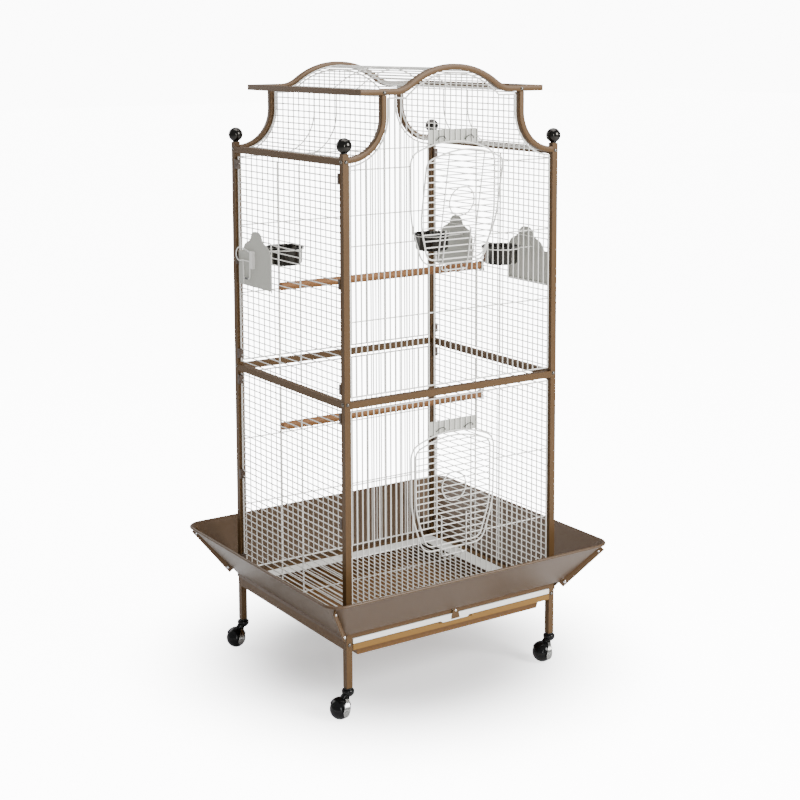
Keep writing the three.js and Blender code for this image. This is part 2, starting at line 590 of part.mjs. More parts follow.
function ballSolid(x, y) {
  const sphere = new THREE.SphereGeometry(ballOut, 16, 9).rotateY(Math.PI / 16);
  const bore = new THREE.CylinderGeometry(4.4, 4.4, 40, 8).translate(0, -28, 0);
  return toSolid(sphere).subtract(toSolid(bore)).translate(x, y, BALL_R);
}

// The hood: a collar under the leg, a strap bent round the ball in a YZ plane, and a cap that
// carries the axle. Worked out around the ball's centre.
function hoodSolid(x, y) {
  const along = (radius, from, to, sides) => toSolid(new THREE.CylinderGeometry(radius, radius,
    to - from, sides).translate(0, -(from + to) / 2, 0));
  const arc = Array.from({ length: 7 }, (_, i) => {
    const angle = Math.PI * 0.55 * i / 6;
    return new THREE.Vector2(STRAP_R * Math.cos(angle), STRAP_R * Math.sin(angle));
  });
  const strap = toSolid(new THREE.ExtrudeGeometry(band(arc, 1, 4), { depth: 16, bevelEnabled: false })
    .rotateX(Math.PI / 2).rotateZ(-Math.PI / 2).translate(19, 0, 0));
  const collar = toSolid(new THREE.LatheGeometry([[0, 56], [10, 56], [13.5, 61], [13, 68],
    [10, 71.7], [0, 71.7]].map(([r, z]) => new THREE.Vector2(r, z - BALL_R)), 10)
    .rotateX(Math.PI / 2).translate(TRAIL, 0, 0));
  const neck = block(6, 29, -8, 8, 27.4, 33);
  return join([along(10, STRAP_R - 1.2, STRAP_R + 1, 10), along(AXLE_R, 10, STRAP_R, 8), strap,
    collar, neck]).translate(x, y, BALL_R);
}

for (const [end, sy] of ENDS) {
  for (const [side, sx] of SIDES) {
    const x = sx * POST_X - TRAIL;
    const y = sy * POST_Y;
    place(`${end}_${side}_caster_hood`, hoodSolid(x, y), CHROME);
    place(`${end}_${side}_caster_ball`, ballSolid(x, y), GLOSS_BLACK);
  }
}

export default cage;
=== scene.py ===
# %% [markdown]
# # A pagoda-roofed bird cage on a castored stand
#
# The fixed frame (posts, rails, stand, tray) comes from the CAD model. This lesson builds what
# the CAD leaves out or keeps coarse: every wire of every panel, the bent bars of the roof line,
# the doors, feeders, skirt, perches, casters and fasteners, and all the finishes.
#
# Lengths are worked out in millimetres, in the CAD's frame: +Z up, the front faces -Y, and the
# origin is on the floor under the middle of the cage. `build` turns them into metres.

# %% The frame
import math
import bmesh
import bpy
import numpy as np
from mathutils import Matrix


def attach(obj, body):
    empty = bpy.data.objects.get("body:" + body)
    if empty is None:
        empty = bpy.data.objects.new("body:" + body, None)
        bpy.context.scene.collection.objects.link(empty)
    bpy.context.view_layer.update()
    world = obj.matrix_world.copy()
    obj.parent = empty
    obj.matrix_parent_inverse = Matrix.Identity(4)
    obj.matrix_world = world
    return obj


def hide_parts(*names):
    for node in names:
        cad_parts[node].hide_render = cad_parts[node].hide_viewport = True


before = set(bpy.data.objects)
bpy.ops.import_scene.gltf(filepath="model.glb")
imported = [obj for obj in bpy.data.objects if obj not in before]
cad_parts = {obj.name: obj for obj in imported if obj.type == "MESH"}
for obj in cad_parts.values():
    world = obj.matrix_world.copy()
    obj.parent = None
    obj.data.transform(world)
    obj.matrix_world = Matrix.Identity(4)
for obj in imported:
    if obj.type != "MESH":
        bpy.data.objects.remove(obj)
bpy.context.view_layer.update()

# %% [markdown]
# ## Driving dimensions
#
# These are the CAD's own numbers, so that each visual piece lies on the solid it stands for.

# %% Dimensions
POST_X, POST_Y, TUBE = 305.0, 259.0, 16.0   # the posts' centres from the middle, and their side
HALF = TUBE / 2
POST_IN = POST_X - HALF                     # inner face of a post
FACE_X, FACE_Y = POST_X + HALF, POST_Y + HALF
POST_TOP = 1330.0
PITCH, ROWS, UPRIGHTS = 15.94, 33, 37       # wire spacing, and how many spacings up and across
BAND = ROWS / 3 * PITCH                     # spacing of the cross wires
LOW_Z, UP_Z = 206.0, 766.0                  # lowest wires of the lower and the upper panels
PANEL_X, PANEL_Y, MIDWIRE_Y = 292.0, 246.0, 52.0
BAR, WING_Z, WING_X = 14.0, 1467.0, 264.0   # the roof bar, and its wings' height and reach
ARCH_R, ARCH_C, ARCH_END_X = 209.0, 1313.0, 123.0
CURVE_R, CURVE_C = 97.0, 1412.0
FINE, THICK = 1.5, 2.0                      # radii of the panel wires and of the edge wires
X, Y, Z = 0, 1, 2
ENDS = {"front": -1, "back": 1}
SIDES = {"left": -1, "right": 1}
CORNERS = {f"{end}_{side}": (sx, sy) for end, sy in ENDS.items() for side, sx in SIDES.items()}
print("corners:", ", ".join(CORNERS))

# %% [markdown]
# ## Finishes
#
# The real cage is powder coated: a slightly rough film whose tone varies a little from place to
# place. One flat colour would look like plastic, so one node group gives every finish a fine
# bump and a broad patchiness. Each material keeps its own Principled BSDF and mixes two tones.


# %% Grain group
def join(links, *wires):
    """A link for each wire of (node, its output, other node, its input)."""
    for source, output, target, entry in wires:
        links.new(source.outputs[output], target.inputs[entry])


def put(node, **values):
    """Sets a node's inputs by their names, with _ for a space."""
    for name, value in values.items():
        node.inputs[name.replace("_", " ")].default_value = value


def grain_group():
    """Fine grain as a normal and a value, and broad patches as a value, in object space."""
    group = bpy.data.node_groups.new("Coat grain", "ShaderNodeTree")
    sockets = group.interface
    for name, default in (("Fineness", 900.0), ("Relief", 0.2), ("Patch size", 6.0)):
        socket = sockets.new_socket(name, in_out="INPUT", socket_type="NodeSocketFloat")
        socket.default_value = default
    for name, kind in (("Grain", "Float"), ("Patches", "Float"), ("Normal", "Vector")):
        sockets.new_socket(name, in_out="OUTPUT", socket_type=f"NodeSocket{kind}")
    nodes, links = group.nodes, group.links
    entry, leave = nodes.new("NodeGroupInput"), nodes.new("NodeGroupOutput")
    place = nodes.new("ShaderNodeTexCoord")
    fine, broad = nodes.new("ShaderNodeTexNoise"), nodes.new("ShaderNodeTexNoise")
    put(fine, Detail=2.0)
    put(broad, Detail=3.0)
    bump = nodes.new("ShaderNodeBump")
    put(bump, Distance=0.0002)
    join(links, (place, "Object", fine, "Vector"), (place, "Object", broad, "Vector"),
                (entry, "Fineness", fine, "Scale"), (entry, "Patch size", broad, "Scale"),
                (entry, "Relief", bump, "Strength"), (fine, "Fac", bump, "Height"),
                (fine, "Fac", leave, "Grain"), (broad, "Fac", leave, "Patches"),
                (bump, "Normal", leave, "Normal"))
    return group


def coat(name, light, dark, roughness, metallic=0.0, relief=0.2, shine=0.5):
    """A finish whose colour runs between two tones in broad patches, with a fine grain."""
    material = bpy.data.materials.new(name)
    material.use_nodes = True
    nodes, links = material.node_tree.nodes, material.node_tree.links
    shader = nodes["Principled BSDF"]
    grain = nodes.new("ShaderNodeGroup")
    grain.node_tree = GRAIN
    put(grain, Relief=relief)
    tone = nodes.new("ShaderNodeMix")
    tone.name = "Tone"
    tone.data_type = "RGBA"
    put(tone, A=(*dark, 1), B=(*light, 1))
    rough = nodes.new("ShaderNodeMapRange")
    put(rough, To_Min=roughness * 0.85, To_Max=min(1.0, roughness * 1.15))
    join(links, (grain, "Patches", tone, "Factor"), (grain, "Grain", rough, "Value"),
                (tone, "Result", shader, "Base Color"), (rough, "Result", shader, "Roughness"),
                (grain, "Normal", shader, "Normal"))
    put(shader, Metallic=metallic, Specular_IOR_Level=shine)
    return material


GRAIN = grain_group()
print("grain group:", len(GRAIN.nodes), "nodes")

# %% [markdown]
# The frame's bronze and the skirt's bronze are the same paint, but the skirt is smooth sheet and
# shines more. Plated parts are metallic with a low roughness, so that they mirror the studio.

# %% Painted and plated finishes
BRONZE = coat("Bronze powder coat", (0.086, 0.0455, 0.0155), (0.070, 0.036, 0.0115), 0.45, 0.1,
              shine=0.25)
SKIRT_COAT = coat("Skirt powder coat", (0.072, 0.041, 0.019), (0.060, 0.033, 0.014), 0.36, 0.15,
                  shine=0.35)
OFF_WHITE = coat("Off-white powder coat", (0.80, 0.79, 0.75), (0.76, 0.75, 0.71), 0.42)
WIRE_WHITE = coat("Off-white wire coat", (0.68, 0.67, 0.63), (0.64, 0.63, 0.59), 0.42)
PLATE_GREY = coat("Pale grey coat", (0.44, 0.44, 0.395), (0.40, 0.40, 0.36), 0.42, relief=0.1)
PEWTER = coat("Dark plating", (0.17, 0.16, 0.14), (0.12, 0.11, 0.10), 0.16, 1.0, relief=0.05)
DARK_CHROME = coat("Dark chrome", (0.036, 0.034, 0.031), (0.028, 0.026, 0.024), 0.13, 1.0,
                   relief=0.02)
STRAP_STEEL = coat("Strap plating", (0.34, 0.34, 0.33), (0.26, 0.26, 0.25), 0.22, 1.0,
                   relief=0.05)
CHROME = coat("Chrome", (0.78, 0.78, 0.78), (0.7, 0.7, 0.7), 0.1, 1.0, relief=0.02)
BLACK = coat("Gloss black plastic", (0.004, 0.004, 0.0045), (0.003, 0.003, 0.003), 0.1,
             relief=0.02, shine=0.2)
DARK_BROWN = coat("Dark brown clip", (0.055, 0.033, 0.020), (0.04, 0.024, 0.015), 0.4)
print(len(bpy.data.materials), "plain finishes")

# %% [markdown]
# Three finishes follow a direction on the piece. Wood grain runs along the perch, a polished
# bowl gets painted reflections of the bars as upright dark and bright bands, and the tray is
# gold on its front strip with a darker painted shade on the pan. Each one steers the mix of the
# two tones by something else than the patches.


# %% Directed finishes
def stretched_noise(material, scale, detail):
    """Noise in object space, drawn out along the axes whose scale is small."""
    nodes, links = material.node_tree.nodes, material.node_tree.links
    place, stretch = nodes.new("ShaderNodeTexCoord"), nodes.new("ShaderNodeMapping")
    noise = nodes.new("ShaderNodeTexNoise")
    put(stretch, Scale=scale)
    put(noise, Scale=1.0, Detail=detail)
    join(links, (place, "Object", stretch, "Vector"), (stretch, "Vector", noise, "Vector"))
    return noise


def wood():
    """Straight-grained wood: noise stretched along X, so that it runs down the perch."""
    material = coat("Perch wood", (0.26, 0.105, 0.020), (0.11, 0.040, 0.008), 0.65, relief=0.3)
    streak = stretched_noise(material, (3, 160, 160), 4.0)
    tone = material.node_tree.nodes["Tone"]
    join(material.node_tree.links, (streak, "Fac", tone, "Factor"))
    return material


def steel_with_painted_reflections():
    """Stainless steel with painted reflections: dark and bright bands, painted in the colour, that
    run up the bowl's wall.
    """
    material = coat("Stainless steel with painted reflections", (0.66, 0.64, 0.60), (0.030, 0.028, 0.025), 0.2, 1.0,
                    relief=0.05)
    nodes, links = material.node_tree.nodes, material.node_tree.links
    # Painted reflection: noise drawn out upright gives the dark and bright bands in the base
    # colour.
    painted_reflection_band = stretched_noise(material, (38, 38, 2), 2.0)
    sharp = nodes.new("ShaderNodeMapRange")
    sharp.interpolation_type = "SMOOTHSTEP"
    put(sharp, From_Min=0.52, From_Max=0.74)
    join(links, (painted_reflection_band, "Fac", sharp, "Value"), (sharp, "Result", nodes["Tone"], "Factor"))
    return material


def tray_coat_with_painted_shade():
    """Gold brown on the tray's front strip, and a darker brown painted as shade on the pan that
    hangs below it.
    """
    material = coat("Gold brown coat with painted pan shade", (0.185, 0.094, 0.017), (0.115, 0.052, 0.011), 0.45, 0.1,
                    shine=0.3)
    nodes, links = material.node_tree.nodes, material.node_tree.links
    place, split = nodes.new("ShaderNodeTexCoord"), nodes.new("ShaderNodeSeparateXYZ")
    # Painted shade: everything behind the front face takes the darker tone.
    front = nodes.new("ShaderNodeMapRange")
    put(front, From_Min=-0.2655, From_Max=-0.2670)
    join(links, (place, "Object", split, "Vector"), (split, "Y", front, "Value"),
                (front, "Result", nodes["Tone"], "Factor"))
    return material


WOOD = wood()
TRAY_GOLD_PAINTED_SHADE = tray_coat_with_painted_shade()
STEEL_PAINTED_REFLECTIONS = steel_with_painted_reflections()
print(len(bpy.data.materials), "materials")

# %% [markdown]
# ## Surfaces from arrays
#
# Every piece is a stack of closed parts. A part is a pair: an array of points and a list of
# faces. Most of the cage is wire, and a panel has dozens of them, so `rods` works out all the
# straight wires of one kind as a single array.


# %% Straight wires
def quads(rows, columns, wrap_rows=False):
    """Faces of a grid of points that wraps round in its columns, as index quadruples."""
    last = rows if wrap_rows else rows - 1
    i, j = np.meshgrid(np.arange(last), np.arange(columns), indexing="ij")
    down, side = (i + 1) % rows, (j + 1) % columns
    corners = [i * columns + j, i * columns + side, down * columns + side, down * columns + j]
    return np.stack(corners, axis=-1).reshape(-1, 4)


def unit(v):
    """Vectors divided by their own lengths."""
    return v / np.linalg.norm(v, axis=-1, keepdims=True)


def rods(start, end, radius, sides=8):
    """Straight round wires: point = end of the wire + radius (cos a side + sin a across)."""
    start, end = np.atleast_2d(np.array(start, float)), np.atleast_2d(np.array(end, float))
    along = unit(end - start)
    helper = np.where(np.abs(along[:, 2:]) < 0.9, [[0.0, 0, 1]], [[1.0, 0, 0]])
    side = unit(np.cross(along, helper))
    across = np.cross(along, side)
    a = np.arange(sides) * 2 * np.pi / sides
    ring = radius * (np.cos(a)[:, None] * side[:, None] + np.sin(a)[:, None] * across[:, None])
    points = np.stack([start[:, None] + ring, end[:, None] + ring], axis=1)
    base = np.arange(len(start))[:, None] * 2 * sides
    walls = (quads(2, sides)[None] + base[..., None]).reshape(-1, 4).tolist()
    caps = np.concatenate([base + np.arange(sides)[::-1], base + sides + np.arange(sides)])
    return points.reshape(-1, 3), walls + caps.tolist()


def spans(rows, run, across, level, radius):
    """Wires from rows of (start, end, place): each runs along the axis `run` from start to end,
    lies at place on the axis `across`, and at level on the third axis."""
    rows = np.array(rows, float)
    ends = np.full((2, len(rows), 3), level, float)
    ends[0, :, run], ends[1, :, run] = rows[:, 0], rows[:, 1]
    ends[:, :, across] = rows[:, 2]
    return rods(ends[0], ends[1], radius)


print("one wire:", len(rods([0, 0, 0], [0, 0, 1], FINE)[0]), "points")

# %% [markdown]
# Bent wires, bent bars and fins are a cross section carried along a line. Round parts such as
# cups and bolt heads are a profile turned about an axis, and plates are an outline carried
# straight from one level to another.


# %% Swept, turned and flat parts
def sweep(path, section, up, closed=False):
    """A closed section carried along a line: point = path + u side + v over, where side is the
    line's direction crossed with up."""
    path, section = np.array(path, float), np.array(section, float)
    if closed:
        along = unit(np.roll(path, -1, axis=0) - np.roll(path, 1, axis=0))
    else:
        along = unit(np.gradient(path, axis=0))
    side = unit(np.cross(along, np.array(up, float)))
    over = np.cross(side, along)
    points = (path[:, None] + section[None, :, :1] * side[:, None]
              + section[None, :, 1:] * over[:, None])
    rows, columns = len(path), len(section)
    faces = quads(rows, columns, closed).tolist()
    if not closed:
        faces += [list(range(columns))[::-1],
                  list(range((rows - 1) * columns, rows * columns))]
    return points.reshape(-1, 3), faces


def circle(radius, sides=10):
    """Points radius (cos a, sin a) at equal steps of a."""
    a = np.arange(sides) * 2 * np.pi / sides
    return np.stack([radius * np.cos(a), radius * np.sin(a)], axis=1)


def tube(path, radius, up, closed=False, sides=10):
    """A round wire bent along a line."""
    return sweep(path, circle(radius, sides), up, closed)


def rounded_rect(width, height, radius, steps=3):
    """Outline of a rectangle with round corners, anticlockwise."""
    a = np.linspace(0, np.pi / 2, steps)
    arc = np.stack([np.cos(a), np.sin(a)], axis=1) * radius
    parts = []
    for quarter, (sx, sy) in enumerate(((1, 1), (-1, 1), (-1, -1), (1, -1))):
        turn = quarter * np.pi / 2
        spin = np.array([[np.cos(turn), np.sin(turn)], [-np.sin(turn), np.cos(turn)]])
        parts.append(arc @ spin + [sx * (width / 2 - radius), sy * (height / 2 - radius)])
    return np.concatenate(parts)


def lathe(profile, centre=(0, 0, 0), axis="z", sides=32):
    """A profile of (r, h) turned about an axis: point = centre + r (cos a, sin a) + h axis."""
    profile = np.array(profile, float)
    a = np.arange(sides) * 2 * np.pi / sides
    r, h = profile[:, :1], profile[:, 1:]
    flat = [r * np.cos(a), r * np.sin(a), h + 0 * a]
    order = {"z": (0, 1, 2), "x": (2, 0, 1), "y": (1, 2, 0)}[axis]
    points = np.stack([flat[i] for i in order], axis=-1).reshape(-1, 3) + np.array(centre, float)
    rows = len(profile)
    faces = quads(rows, sides).tolist()
    faces += [list(range(sides))[::-1], list(range((rows - 1) * sides, rows * sides))]
    return points, faces


def prism(outline, low, high, axis="y"):
    """A closed outline carried from low to high along an axis."""
    outline = np.array(outline, float)
    n = len(outline)
    ends = [np.full((n, 1), low), np.full((n, 1), high)]
    put = {"y": (0, 2, 1), "x": (2, 0, 1), "z": (0, 1, 2)}[axis]
    layers = [np.concatenate([outline, end], axis=1)[:, put] for end in ends]
    return np.concatenate(layers), quads(2, n).tolist() + [list(range(n)), list(range(n, 2 * n))]


def box(low, high):
    """A block between two opposite corners."""
    (x0, y0, z0), (x1, y1, z1) = low, high
    return prism([[x0, y0], [x1, y0], [x1, y1], [x0, y1]], z0, z1, "z")


def moved(part, matrix=None, shift=(0, 0, 0)):
    """The part turned by a matrix and then shifted: point = matrix point + shift."""
    points, faces = part
    if matrix is not None:
        points = points @ np.array(matrix, float).T
    return points + np.array(shift, float), faces


print("one bent wire:", len(tube([[0, 0, 0], [0, 0, 1]], FINE, (0, 1, 0))[0]), "points")

# %% [markdown]
# `build` joins the parts of a piece into one mesh at the origin, in metres. It merges doubled
# points, turns the faces outwards, and keeps edges sharper than 38 degrees crisp.


# %% Build
CRISP, MERGE = 38, 1e-7             # degrees between faces, and metres between doubled points


def build(name, parts, material, body, bevel=0.0, replaces=()):
    """Joins parts into one object in metres, with outward faces and smooth shading."""
    name = name.replace(" ", "_")
    counts = np.cumsum([0] + [len(points) for points, _ in parts])
    points = np.concatenate([points for points, _ in parts]) / 1000
    faces = [[i + int(first) for i in face] for (_, part), first in zip(parts, counts)
             for face in part]
    mesh = bpy.data.meshes.new(name)
    mesh.from_pydata(points.tolist(), [], faces)
    work = bmesh.new()
    work.from_mesh(mesh)
    bmesh.ops.remove_doubles(work, verts=work.verts, dist=MERGE)
    bmesh.ops.recalc_face_normals(work, faces=work.faces)
    work.to_mesh(mesh)
    work.free()
    mesh.materials.append(material)
    mesh.shade_smooth()
    mesh.set_sharp_from_angle(angle=math.radians(CRISP))
    made = bpy.data.objects.new(name, mesh)
    bpy.context.scene.collection.objects.link(made)
    if bevel:
        soften(made, bevel)
    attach(made, body)
    if replaces:
        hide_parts(*replaces)
    return made


def soften(thing, width, segments=2):
    """A live bevel on the sharp edges of a piece, so that they catch the light."""
    edge = thing.modifiers.new("Soft edges", "BEVEL")
    edge.width = width / 1000
    edge.segments = segments
    edge.limit_method = "ANGLE"
    edge.angle_limit = math.radians(40)
    edge.harden_normals = True


print("build is ready; edges sharper than", CRISP, "degrees stay crisp")

# %% [markdown]
# ## Lines
#
# A wire bender rounds every corner. A rounded outline here is a short list of corners, and each
# corner becomes a curve that starts `cut` millimetres away from it. The roof line and the door
# loops are written this way in the CAD as well, so the two models agree.


# %% Line builders
def quadratic(a, b, c, steps):
    """A curve from a to c that leaves and arrives towards b: (1-t)^2 a + 2t(1-t) b + t^2 c."""
    t = np.linspace(0, 1, steps)[:, None]
    return (1 - t) ** 2 * a + 2 * t * (1 - t) * b + t ** 2 * c


def rounded(corners, steps=8, closed=True):
    """A line through corners whose last number is the cut: each corner becomes a curve."""
    corners = [np.array(c, float) for c in corners]
    line = []
    for i, corner in enumerate(corners):
        here, cut = corner[:-1], corner[-1]
        if not closed and i in (0, len(corners) - 1):
            line.append(here[None])
            continue
        before, after = corners[i - 1][:-1], corners[(i + 1) % len(corners)][:-1]
        line.append(quadratic(here + unit(before - here) * cut, here,
                              here + unit(after - here) * cut, steps))
    return np.concatenate(line)


def inset(corners, d):
    """The same anticlockwise corners, moved inwards by d."""
    here = corners[:, :2]
    a = unit(here - np.roll(here, 1, axis=0))
    b = unit(np.roll(here, -1, axis=0) - here)
    inwards = np.stack([-a[:, 1] - b[:, 1], a[:, 0] + b[:, 0]], axis=1)
    inwards *= d / (1 + np.sum(a * b, axis=1, keepdims=True))
    return np.column_stack([here + inwards, corners[:, 2] - d * 0.7])


def crossings(outline, level, axis):
    """Where a closed outline crosses the line on which one coordinate has the value level."""
    p, q = outline, np.roll(outline, -1, axis=0)
    hit = (p[:, axis] - level) * (q[:, axis] - level) < 0
    t = (level - p[hit, axis]) / (q[hit, axis] - p[hit, axis])
    return np.sort(p[hit, 1 - axis] + t * (q[hit, 1 - axis] - p[hit, 1 - axis]))


def stretches(outline, hole, level, axis):
    """Rows of (start, end, level) for a wire inside an outline, left out inside its hole."""
    stops = crossings(outline, level, axis)
    if hole is not None:
        stops = np.sort(np.concatenate([stops, crossings(hole, level, axis)]))
    return [(start, end, level) for start, end in zip(stops[::2], stops[1::2])]


def in_xz(line, y):
    """A line of (x, z) points, stood upright at y."""
    line = np.array(line, float)
    return np.stack([line[:, 0], np.full(len(line), y), line[:, 1]], axis=1)


square = rounded([[0, 0, 2], [9, 0, 2], [9, 9, 2], [0, 9, 2]])
print("a rounded square:", len(square), "points")

# %% [markdown]
# The roof line is a pagoda: level wings that sweep up into an arch, and quarter circles that
# drop from the wings to the posts. Front and back wires end on this line, so it is one function
# of how far it is moved down or in.


# %% Roof line
def wing_line(down, reach, steps=24):
    """Level wings that sweep up into an arch, moved down towards the cage: a curve leads from
    the wing to the arch, along the tangents of both."""
    r, level = ARCH_R - down, WING_Z - down
    end_z = ARCH_C + math.sqrt(r * r - ARCH_END_X * ARCH_END_X)
    control = ARCH_END_X + (end_z - level) * (end_z - ARCH_C) / ARCH_END_X
    start = control + math.hypot(control - ARCH_END_X, end_z - level)
    corner = quadratic(np.array([start, level]), np.array([control, level]),
                       np.array([ARCH_END_X, end_z]), 10)
    angle = math.atan2(end_z - ARCH_C, ARCH_END_X)
    a = np.linspace(angle, np.pi - angle, steps)[1:-1]
    arch = np.stack([r * np.cos(a), ARCH_C + r * np.sin(a)], axis=1)
    mirror = corner[::-1] * [-1, 1]
    return np.concatenate([[[reach, level]], corner, arch, mirror, [[-reach, level]]])


def curve_line(sx, down, top, steps=18):
    """From the post's inner face, round a quarter circle, up to the wing."""
    r = CURVE_R + down
    a = np.linspace(0, np.pi / 2, steps)
    arc = np.stack([sx * (POST_IN - r * np.sin(a)), CURVE_C - r * np.cos(a)], axis=1)
    return np.concatenate([arc, [[sx * (POST_IN - r), top]]])


def gable_outline(d, base, half_x):
    """The inside line of the pagoda frame, in from its faces by d, closed along its base."""
    r, wing, arch_r = CURVE_R + BAR / 2 + d, WING_Z - BAR / 2 - d, ARCH_R - BAR / 2 - d
    a = np.linspace(math.asin((POST_IN - half_x) / r), np.pi / 2, 14)
    side = np.stack([POST_IN - r * np.sin(a), CURVE_C - r * np.cos(a)], axis=1)
    low = math.asin((wing - ARCH_C) / arch_r)
    b = np.linspace(low, np.pi - low, 26)
    arch = np.stack([arch_r * np.cos(b), ARCH_C + arch_r * np.sin(b)], axis=1)
    mirror = side[::-1] * [-1, 1]
    return np.concatenate([[[half_x, base]], side, [[POST_IN - r, wing]], arch,
                           [[r - POST_IN, wing]], mirror, [[-half_x, base]]])


def by_length(line, step):
    """Points along a line at equal arc lengths of about step."""
    length = np.concatenate([[0], np.cumsum(np.linalg.norm(np.diff(line, axis=0), axis=1))])
    count = round(length[-1] / step)
    s = np.linspace(0, length[-1], count + 1)
    return np.stack([np.interp(s, length, line[:, 0]), np.interp(s, length, line[:, 1])], axis=1)


print("roof line", wing_line(0, WING_X).shape, "points")

# %% [markdown]
# ## Front and back panels
#
# Upright wires run the whole height, and cross wires are welded to their inner side. On the
# front, a door's fixed loop interrupts both, so each wire that meets it is split where the loop
# crosses it. The real bars are welded at every crossing; here they just sink into each other.

# %% Door outline and heights
LOOPS = {"lower": 356.0, "upper": 1056.0}       # lowest point of each door's fixed loop
LOOP = np.array([[88, 0, 28], [122, 100, 40], [123, 262, 26], [0, 308, 98],
                 [-123, 262, 26], [-122, 100, 40], [-88, 0, 28]], float)
HINGE_Y, HINGE_DROP = -263.1, 15.0
SINK = 0.3                                      # how far one wire sinks into another
print("door loop:", len(rounded(LOOP, 10)), "points")


# %% End panels
def door_hooks_with_painted_shadow(level, loop_z, y):
    """Two hooks that go through the plate's slots, over the wires behind it; their dark finish is
    painted shadow, standing in for the shade they cast on the plate.
    """
    hooks = []
    for x in (-36.0, 47.0):
        bends = [(-12, 1.5, 294, 0), (-12, -4, 298, 3), (-5, -5, 304, 4), (5, -5, 304, 4),
                 (12, -4, 298, 3), (12, 1.5, 296, 0)]
        hook = rounded(np.array(bends) + [x, y, loop_z, 0], 5, closed=False)
        hooks.append(tube(hook, 1.0, (0, 0.3, 1)))
    # The hooks are real wires, but their dark chrome is painted shadow of the hooks on the plate.
    build(f"{level} plate hooks", hooks, DARK_CHROME, "cage")


def hinge_eyes(hinge_z, y):
    """Two eyes on short stems that hold the door's hinge wire: parts of the panel."""
    parts = []
    for x in (-24.0, 24.0):
        ring = [(2.2, -3), (3.6, -3), (3.6, 3), (2.2, 3), (2.2, -3)]
        points, _ = lathe(ring, (x, HINGE_Y, hinge_z), "x", 14)
        parts.append((points, quads(len(ring), 14).tolist()))
        parts.append(rods([x, HINGE_Y + 2.2, hinge_z], [x, y, hinge_z], FINE))
    return parts


def end_panel(end, level):
    """Uprights and cross wires between the crossings of their own line with the outline."""
    y = ENDS[end] * POST_Y
    z0 = UP_Z if level == "upper" else LOW_Z
    bands = [z0 + i * BAND for i in range(4)]
    if level == "upper":
        outline, cross_levels = gable_outline(7.5, z0, PANEL_X), bands[1:]
    else:
        top = bands[-1]
        outline = np.array([[PANEL_X, z0], [PANEL_X, top], [-PANEL_X, top], [-PANEL_X, z0]])
        cross_levels = bands[1:-1]
    loop_z = LOOPS[level]
    loop = rounded(LOOP + [0, loop_z, 0], 10) if end == "front" else None
    xs = np.linspace(-PANEL_X, PANEL_X, UPRIGHTS + 1)[1:-1]
    uprights = [row for x in xs for row in stretches(outline, loop, x, 0)]
    crosses = [row for z in cross_levels for row in stretches(outline, loop, z, 1)]
    edge = rounded(np.column_stack([outline, np.full(len(outline), 0.5)]), 2)
    parts = [spans(uprights, Z, X, y, FINE),
             spans(crosses, X, Z, y - ENDS[end] * (FINE * 2 - SINK), FINE),
             tube(in_xz(edge, y), THICK, (0, 1, 0), closed=True)]
    if loop is not None:
        parts.append(tube(in_xz(loop, y), THICK, (0, 1, 0), closed=True))
        door_hooks_with_painted_shadow(level, loop_z, y)
        parts += hinge_eyes(loop_z - HINGE_DROP, y)
    return build(f"{end} {level} wires", parts, WIRE_WHITE, "cage",
                 replaces=[f"{end}_{level}_panel"])


for end in ENDS:
    for level in LOOPS:
        made = end_panel(end, level)
        print(made.name, len(made.data.polygons), "faces")

# %% [markdown]
# Above each door hangs a small plain plate. It lies behind the upright wires, so the bars pass
# in front of it.

# %% Door plates
PLATE_W, PLATE_H, PLATE_UP = 142, 33.5, 302.8   # size, and its middle above the loop's foot
for level, loop_z in LOOPS.items():
    outline = rounded_rect(PLATE_W, PLATE_H, 4)
    plate = prism(outline + [0, loop_z + PLATE_UP], -POST_Y + 1.8, -POST_Y + 3.0)
    made = build(f"{level} door plate", [plate], PLATE_GREY, "cage")
    print(made.name, len(made.data.polygons), "faces")

# %% [markdown]
# ## Side panels
#
# Level wires at the full pitch run between two thick edge wires, with two more full-height
# wires inside them. Where a feeder door covers a hole, the level wires stop and a wire of their
# own frames it.

# %% Side panels
HOLE_Y, HOLE_Z = (84.0, 240.0), (974.0, 1086.0)
HOLE_SIDES = {"left": [1], "right": [1, -1]}


def side_panel(side, level):
    """Level wires between stops: the panel's two ends, and the ends of each hole they meet."""
    sx, name = SIDES[side], f"{side}_{level}_panel"
    x = sx * POST_X
    inner = x - sx * (FINE + THICK - SINK)
    z0 = UP_Z if level == "upper" else LOW_Z
    holes = [sorted((sy * HOLE_Y[0], sy * HOLE_Y[1])) for sy in HOLE_SIDES[side]
             if level == "upper"]
    rows = []
    for z in z0 + np.arange(ROWS + 1) * PITCH:
        met = sorted(holes) if HOLE_Z[0] < z < HOLE_Z[1] else []
        stops = [-PANEL_Y, *(y for hole in met for y in hole), PANEL_Y]
        rows += [(start, end, z) for start, end in zip(stops[::2], stops[1::2])]
    top = z0 + ROWS * PITCH
    ys = np.array([-PANEL_Y, -MIDWIRE_Y, MIDWIRE_Y, PANEL_Y])
    xs = np.array([x, inner, inner, x])
    parts = [spans(rows, Y, Z, x, FINE),
             rods(np.stack([xs, ys, 0 * ys + z0 - FINE], axis=1),
                  np.stack([xs, ys, 0 * ys + top + FINE], axis=1), THICK)]
    low, high = HOLE_Z[0] - FINE, HOLE_Z[1] + FINE
    for a, b in holes:
        corners = [[x, a - FINE, low, 5], [x, b + FINE, low, 5],
                   [x, b + FINE, high, 5], [x, a - FINE, high, 5]]
        parts.append(tube(rounded(corners, 4), FINE, (1, 0, 0), closed=True))
    return build(f"{side} {level} wires", parts, WIRE_WHITE, "cage", replaces=[name])


for side in SIDES:
    for level in LOOPS:
        made = side_panel(side, level)
        print(made.name, len(made.data.polygons), "faces")

